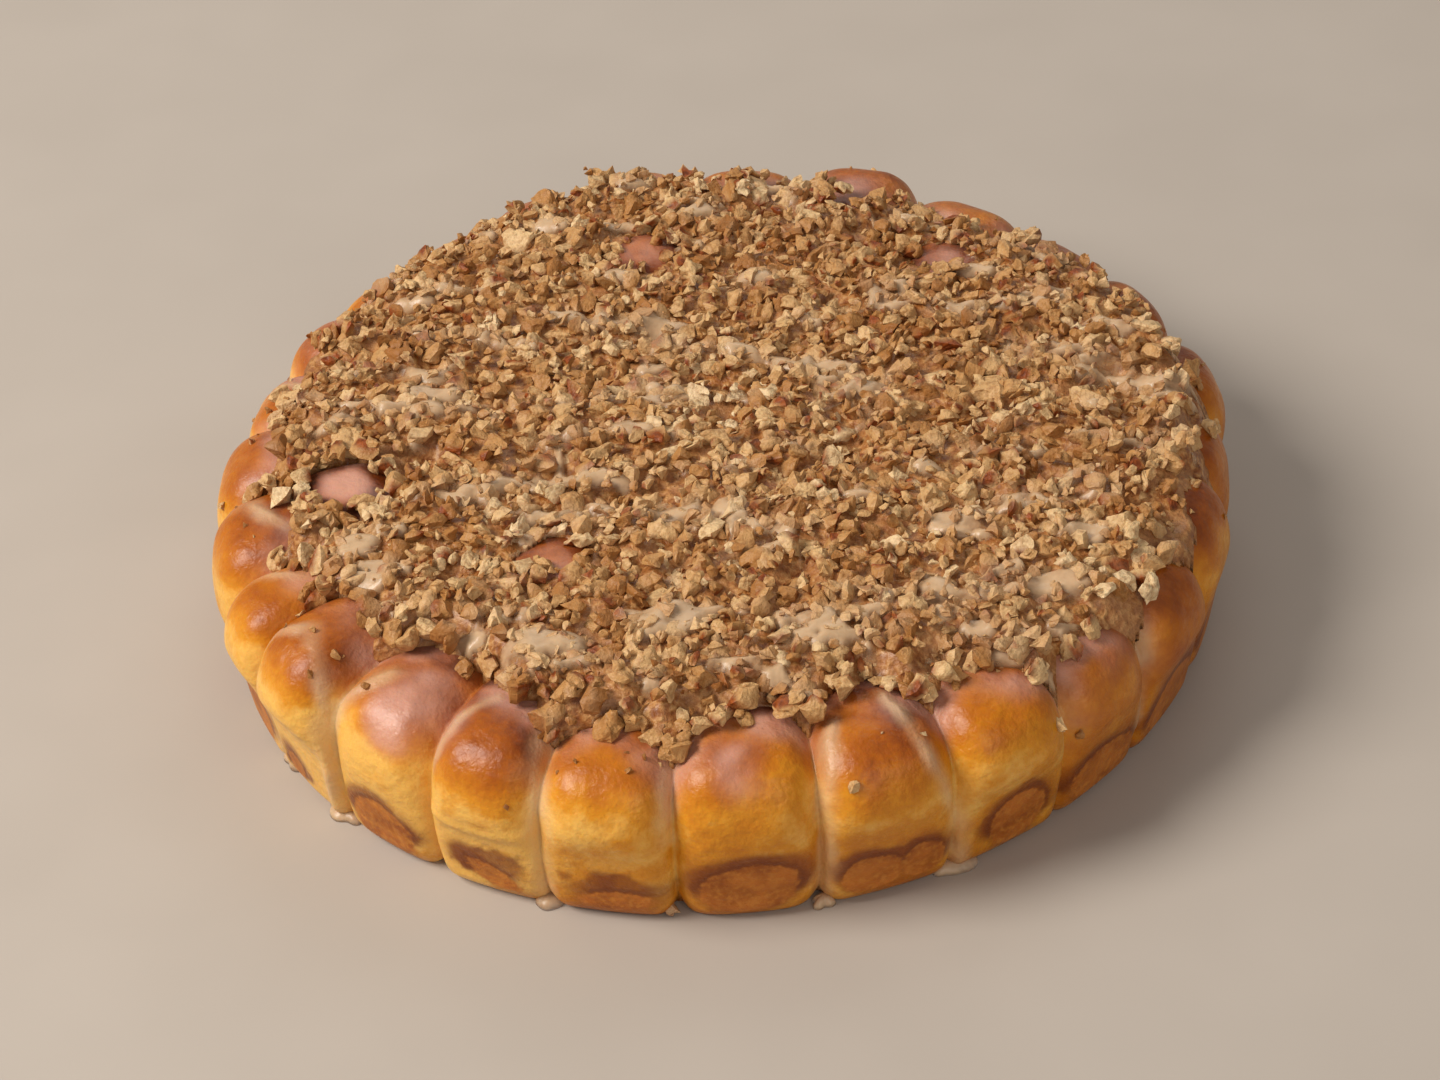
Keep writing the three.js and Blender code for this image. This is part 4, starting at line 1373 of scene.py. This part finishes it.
def crust_attributes(surface, marks, scorch, run_film):
    """What the crust's material reads at each point."""
    points = surface.points
    x, y, z = points.T
    inner = np.hypot(x, y) < FAN_RADIUS
    edge_domes = smooth_step(2.0, -7.0, beyond_spots(points, BARE_EDGES)) * smooth_step(32, 40, z)
    toast_and_painted_light = browning_and_painted_light(surface) + EDGE_DOME_BROWN * edge_domes
    streaky = mixed_noise(points * FILM_STREAK_SHAPE, FILM_STREAKS) + mixed_noise(points, FILM_SPOTS)
    veil = smooth_step(15, -1, -cover(x, y)) * np.clip(0.55 + 0.7 * streaky, 0, 1) * smooth_step(20, 34, z)
    veil = np.maximum(veil, edge_domes * np.clip(0.65 + 0.5 * streaky, 0, 1))
    veil *= smooth_step(FILM_END, FILM_START, x)
    # the film over a proud dome's middle is partly a painted highlight, and the browner crust round it partly
    # painted shade
    film = glaze_and_highlight_on_domes(points)
    return {
        "toast_and_painted_light": np.where(inner, toast_and_painted_light + PROUD_DOME_BROWN_AND_SHADE * (1 - film), toast_and_painted_light),
        "mark": marks,
        "scorch": scorch,
        "veil": np.where(inner, np.clip(film + 0.4 * streaky, 0, THICKEST_VEIL), veil),
        "run": run_film,
    }


def fitted(points):
    """Points of the loaf in the CAD frame: stretched, and moved to the middle of the CAD node's box."""
    return stretched(points) * (FIT_SCALE, FIT_SCALE, 1) + FIT_SHIFT


def build_crust(surface):
    marks, scorch = pan_marks(surface)
    runs, run_film = run_glaze(surface)
    surface.points += surface.directions * crust_relief(surface, marks, runs)[:, None]
    attributes = {
        name: np.append(values, values[-2:])
        for name, values in crust_attributes(surface, marks, scorch, run_film).items()
    }
    rows, columns = len(surface.rows), len(surface.azimuths)
    bottom, top = len(surface.points), len(surface.points) + 1
    poles = np.array(((0, 0, 0), (0, 0, surface.points[-columns:, 2].mean())))
    points = np.concatenate((surface.points, poles))
    face_sets = [
        grid_faces(rows, columns),
        pole_faces(0, columns, bottom, outward=False),
        pole_faces((rows - 1) * columns, columns, top, outward=True),
    ]
    crust = make_mesh("bread_crust", fitted(points), face_sets, crust_material(), **attributes)
    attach(crust, "root")
    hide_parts("bread")


def build_layer(field):
    keep = (field.radius < FIELD_RADIUS) & (field.layer > field.crust - LAYER_END)
    points, faces, used = surface_of_cells(field, field.layer, keep)
    shell, face_sets = closed_shell(points, faces, field.crust[used] - LAYER_ROOT)
    layer = make_mesh("glaze_layer", fitted(shell), face_sets, layer_material())
    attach(layer, "root")
    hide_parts("pecan_topping")


def build_milk(field):
    """Milky glaze that was poured over: it fills between the pecans in streaks and puddles."""
    keep = (field.radius < FIELD_RADIUS) & (field.milk > np.maximum(field.layer, field.crust) - MILK_END)
    points, faces, used = surface_of_cells(field, field.milk, keep)
    shell, face_sets = closed_shell(points, faces, np.minimum(field.milk, field.layer)[used] - MILK_ROOT)
    lift = np.tile((field.milk - field.layer)[used], 2)
    milk = make_mesh("milky_glaze", fitted(shell), face_sets, milk_material(), lift=lift)
    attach(milk, "root")


def pool_mesh(azimuth, radius, half_length, half_depth, seed):
    """Points and faces of one flat pool with a rounded, uneven rim."""
    circle = ring_points(np.arange(POOL_POINTS) * 360 / POOL_POINTS, 1.0, 0.0)
    uneven = 1 + 0.3 * noise(circle * 1.6, 1.0, seed)
    heights = POOL_HEIGHT * np.sqrt(1 - (POOL_ROUNDNESS * POOL_RINGS) ** 2)
    heights[0] = 0.0
    middle, out, side = plan_point(radius, azimuth), plan_point(1, azimuth), plan_point(1, azimuth + 90)
    rim = uneven[:, None] * (circle[:, :1] * half_depth * out + circle[:, 1:2] * half_length * side)
    rows = [
        np.column_stack((middle + share * rim, np.full(POOL_POINTS, height)))
        for share, height in zip(POOL_RINGS, heights)
    ]
    poles = np.array(((*middle, 0.0), (*middle, heights[-1])))
    count = len(POOL_RINGS) * POOL_POINTS
    bottom = pole_faces(0, POOL_POINTS, count, outward=False)
    top = pole_faces(count - POOL_POINTS, POOL_POINTS, count + 1, outward=True)
    return np.concatenate((*rows, poles)), [grid_faces(len(POOL_RINGS), POOL_POINTS), bottom, top]


def foot_radius(surface, azimuth):
    """How far out the buns on both sides of an azimuth reach just above the table."""
    near = np.abs(to_azimuth(surface.all_azimuths, azimuth)) < POOL_SIGHT
    low = near & (surface.points[:, 2] < FOOT_HEIGHT)
    return np.hypot(surface.points[low, 0], surface.points[low, 1]).max()


def build_pools(surface):
    points, quads, triangles, offset = [], [], [], 0
    for i, (azimuth, half_length, half_depth) in enumerate(POOLS):
        radius = foot_radius(surface, azimuth) - POOL_INSET
        pool_points, (grid, *ends) = pool_mesh(azimuth, radius, half_length, half_depth, POOL_SEED + i)
        points.append(pool_points)
        quads.append(grid + offset)
        triangles.extend(faces + offset for faces in ends)
        offset += len(pool_points)
    points = np.concatenate(points)
    lift = 1.0 + 2.0 * points[:, 2] / POOL_HEIGHT
    face_sets = [np.concatenate(quads), np.concatenate(triangles)]
    pools = make_mesh("glaze_pools", fitted(points), face_sets, milk_material(), lift=lift)
    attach(pools, "root")


def build_pecans(field, kinds):
    material = pecan_material()
    rng = np.random.default_rng(SHADE_SEED)

    def glazed(points):
        cells = field.cell(points[:, 0], points[:, 1])
        sunk = smooth_step(1.4, -0.2, points[:, 2] - field.milk[cells])
        return np.maximum(sunk, 0.7 * smooth_step(-0.25, 0.35, field.wet[cells]))

    for kind in kinds.values():
        piece = kind.mesh(material, rng, glazed)
        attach(piece, "root")


# Bits of pecan that stick to the side: places of the first, and the range of the rest
SINGLE_STRAYS = ((306.5, 28, "pecans_small"), (310, 8, "pecan_bits"), (264, -58, "pecans_small"))
STRAY_COUNT, STRAY_SEED, STRAY_SHAPE_SEED = 70, 60013, 91
STRAY_TOP, STRAY_REACH = 62.0, 42.0  # in degrees of elevation
CRUMB_SHARE = 0.6
STRAY_WIDTHS, STRAY_THICKNESSES = (0.6, 0.9), (0.45, 0.7)
STRAY_LIFT = 0.2  # in shares of its thickness


def stray_pecans(surface, kinds):
    """Lays single bits on the side of the loaf, below the pecans' outline."""
    rng = np.random.default_rng(STRAY_SHAPE_SEED)
    for azimuth, elevation, name in strays():
        row = np.abs(surface.elevation[::len(surface.azimuths)] - elevation).argmin()
        column = np.abs(to_azimuth(surface.azimuths, azimuth)).argmin()
        spot = row * len(surface.azimuths) + column
        kind = kinds[name]
        sizes = random_sizes(rng, kind, STRAY_WIDTHS, STRAY_THICKNESSES)
        variant = rng.integers(len(kind.shapes))
        points = kind.corners(variant, sizes, turned(*rng.uniform(0, 2 * math.pi, 3)))
        place = surface.points[spot] + surface.directions[spot] * STRAY_LIFT * sizes[2]
        kind.lay(points + place, variant)


def strays():
    """Where single bits of pecan stick to the side: azimuth, elevation and kind."""
    draw = sequence(STRAY_SEED)
    places = list(SINGLE_STRAYS)
    for _ in range(STRAY_COUNT):
        azimuth = draw(0, 360)
        elevation = STRAY_TOP - STRAY_REACH * draw(0, 1) * draw(0, 1)
        places.append((azimuth, elevation, "pecan_crumbs" if draw(0, 1) < CRUMB_SHARE else "pecan_bits"))
    return places


def aim(thing, target, roll=0.0):
    """Turns a light or camera, which looks along its own -Z, at a point."""
    direction = Vector(target) - thing.location
    turn = direction.to_track_quat("-Z", "Y").to_matrix().to_4x4()
    rolled = turn @ Matrix.Rotation(math.radians(roll), 4, "Z")
    thing.rotation_euler = rolled.to_euler()


# The camera and the studio
CAMERA_ELEVATION = 37.6
CAMERA_AZIMUTH = 270.5
CAMERA_DISTANCE = 0.941
CAMERA_LENS = 88.4
CAMERA_ROLL = -2.5
CAMERA_AIM = (-0.0026, -0.0044, 0.0153)
LIGHTS = (  # name, place, size and power
    ("key", (-1.4, -0.35, 1.4), 1.0, 44.0),
    ("front", (0.35, -1.0, 0.6), 0.9, 3.2),
    ("back", (0.2, 0.9, 0.9), 0.9, 3.0),
)
LIGHT_COLOUR = (1.0, 0.95, 0.88)
LIGHT_AIM = (0.0, 0.0, 0.03)
SKY_COLOUR = (1.0, 0.96, 0.92, 1.0)
SKY_STRENGTH = 0.24


def build_camera():
    camera = bpy.data.objects.new("camera", bpy.data.cameras.new("camera"))
    camera.data.lens = CAMERA_LENS
    camera.data.sensor_width = 36.0
    elevation = math.radians(CAMERA_ELEVATION)
    away = Vector((*plan_point(math.cos(elevation), CAMERA_AZIMUTH), math.sin(elevation)))
    camera.location = Vector(CAMERA_AIM) + away * CAMERA_DISTANCE
    aim(camera, CAMERA_AIM, CAMERA_ROLL)
    camera.data.clip_start = 0.01
    bpy.context.scene.collection.objects.link(camera)
    bpy.context.scene.camera = camera


def add_light(name, place, size, power):
    light = bpy.data.lights.new(name, "AREA")
    light.shape = "DISK"
    light.size = size
    light.energy = power
    light.color = LIGHT_COLOUR
    lamp = bpy.data.objects.new(name, light)
    lamp.location = place
    aim(lamp, LIGHT_AIM)
    bpy.context.scene.collection.objects.link(lamp)


def build_studio():
    scene = bpy.context.scene
    scene.view_settings.view_transform = "Standard"
    world = bpy.data.worlds.new("studio")
    world.use_nodes = True
    sky = world.node_tree.nodes["Background"]
    sky.inputs["Color"].default_value = SKY_COLOUR
    sky.inputs["Strength"].default_value = SKY_STRENGTH
    scene.world = world
    for light in LIGHTS:
        add_light(*light)
    bpy.ops.mesh.primitive_plane_add(size=6)
    floor = bpy.context.active_object
    floor.name = "floor"
    floor.data.materials.append(floor_material())
    floor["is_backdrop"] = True


def keep_sizes():
    """Works out the CAD box and the visual model's box as plain lists."""
    boxes = {"cad": CAD_BOX, "visual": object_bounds()}
    plain = {name: [[float(value) for value in corner] for corner in box] for name, box in boxes.items()}


SURFACE = Surface()
LOW, HIGH = stretched(SURFACE.points).min(axis=0), stretched(SURFACE.points).max(axis=0)
CAD_LOW, CAD_HIGH = (np.array(corner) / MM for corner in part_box("bread"))
FIT_SHIFT = ((CAD_LOW + CAD_HIGH - LOW - HIGH) / 2) * (1, 1, 0)
FIELD = Field()

build_crust(SURFACE)
PECANS = laid_pecans(FIELD)
FIELD.bind()
build_layer(FIELD)
FIELD.pour_milk()
stray_pecans(SURFACE, PECANS)
build_pecans(FIELD, PECANS)
build_milk(FIELD)
build_pools(SURFACE)
build_camera()
build_studio()
keep_sizes()
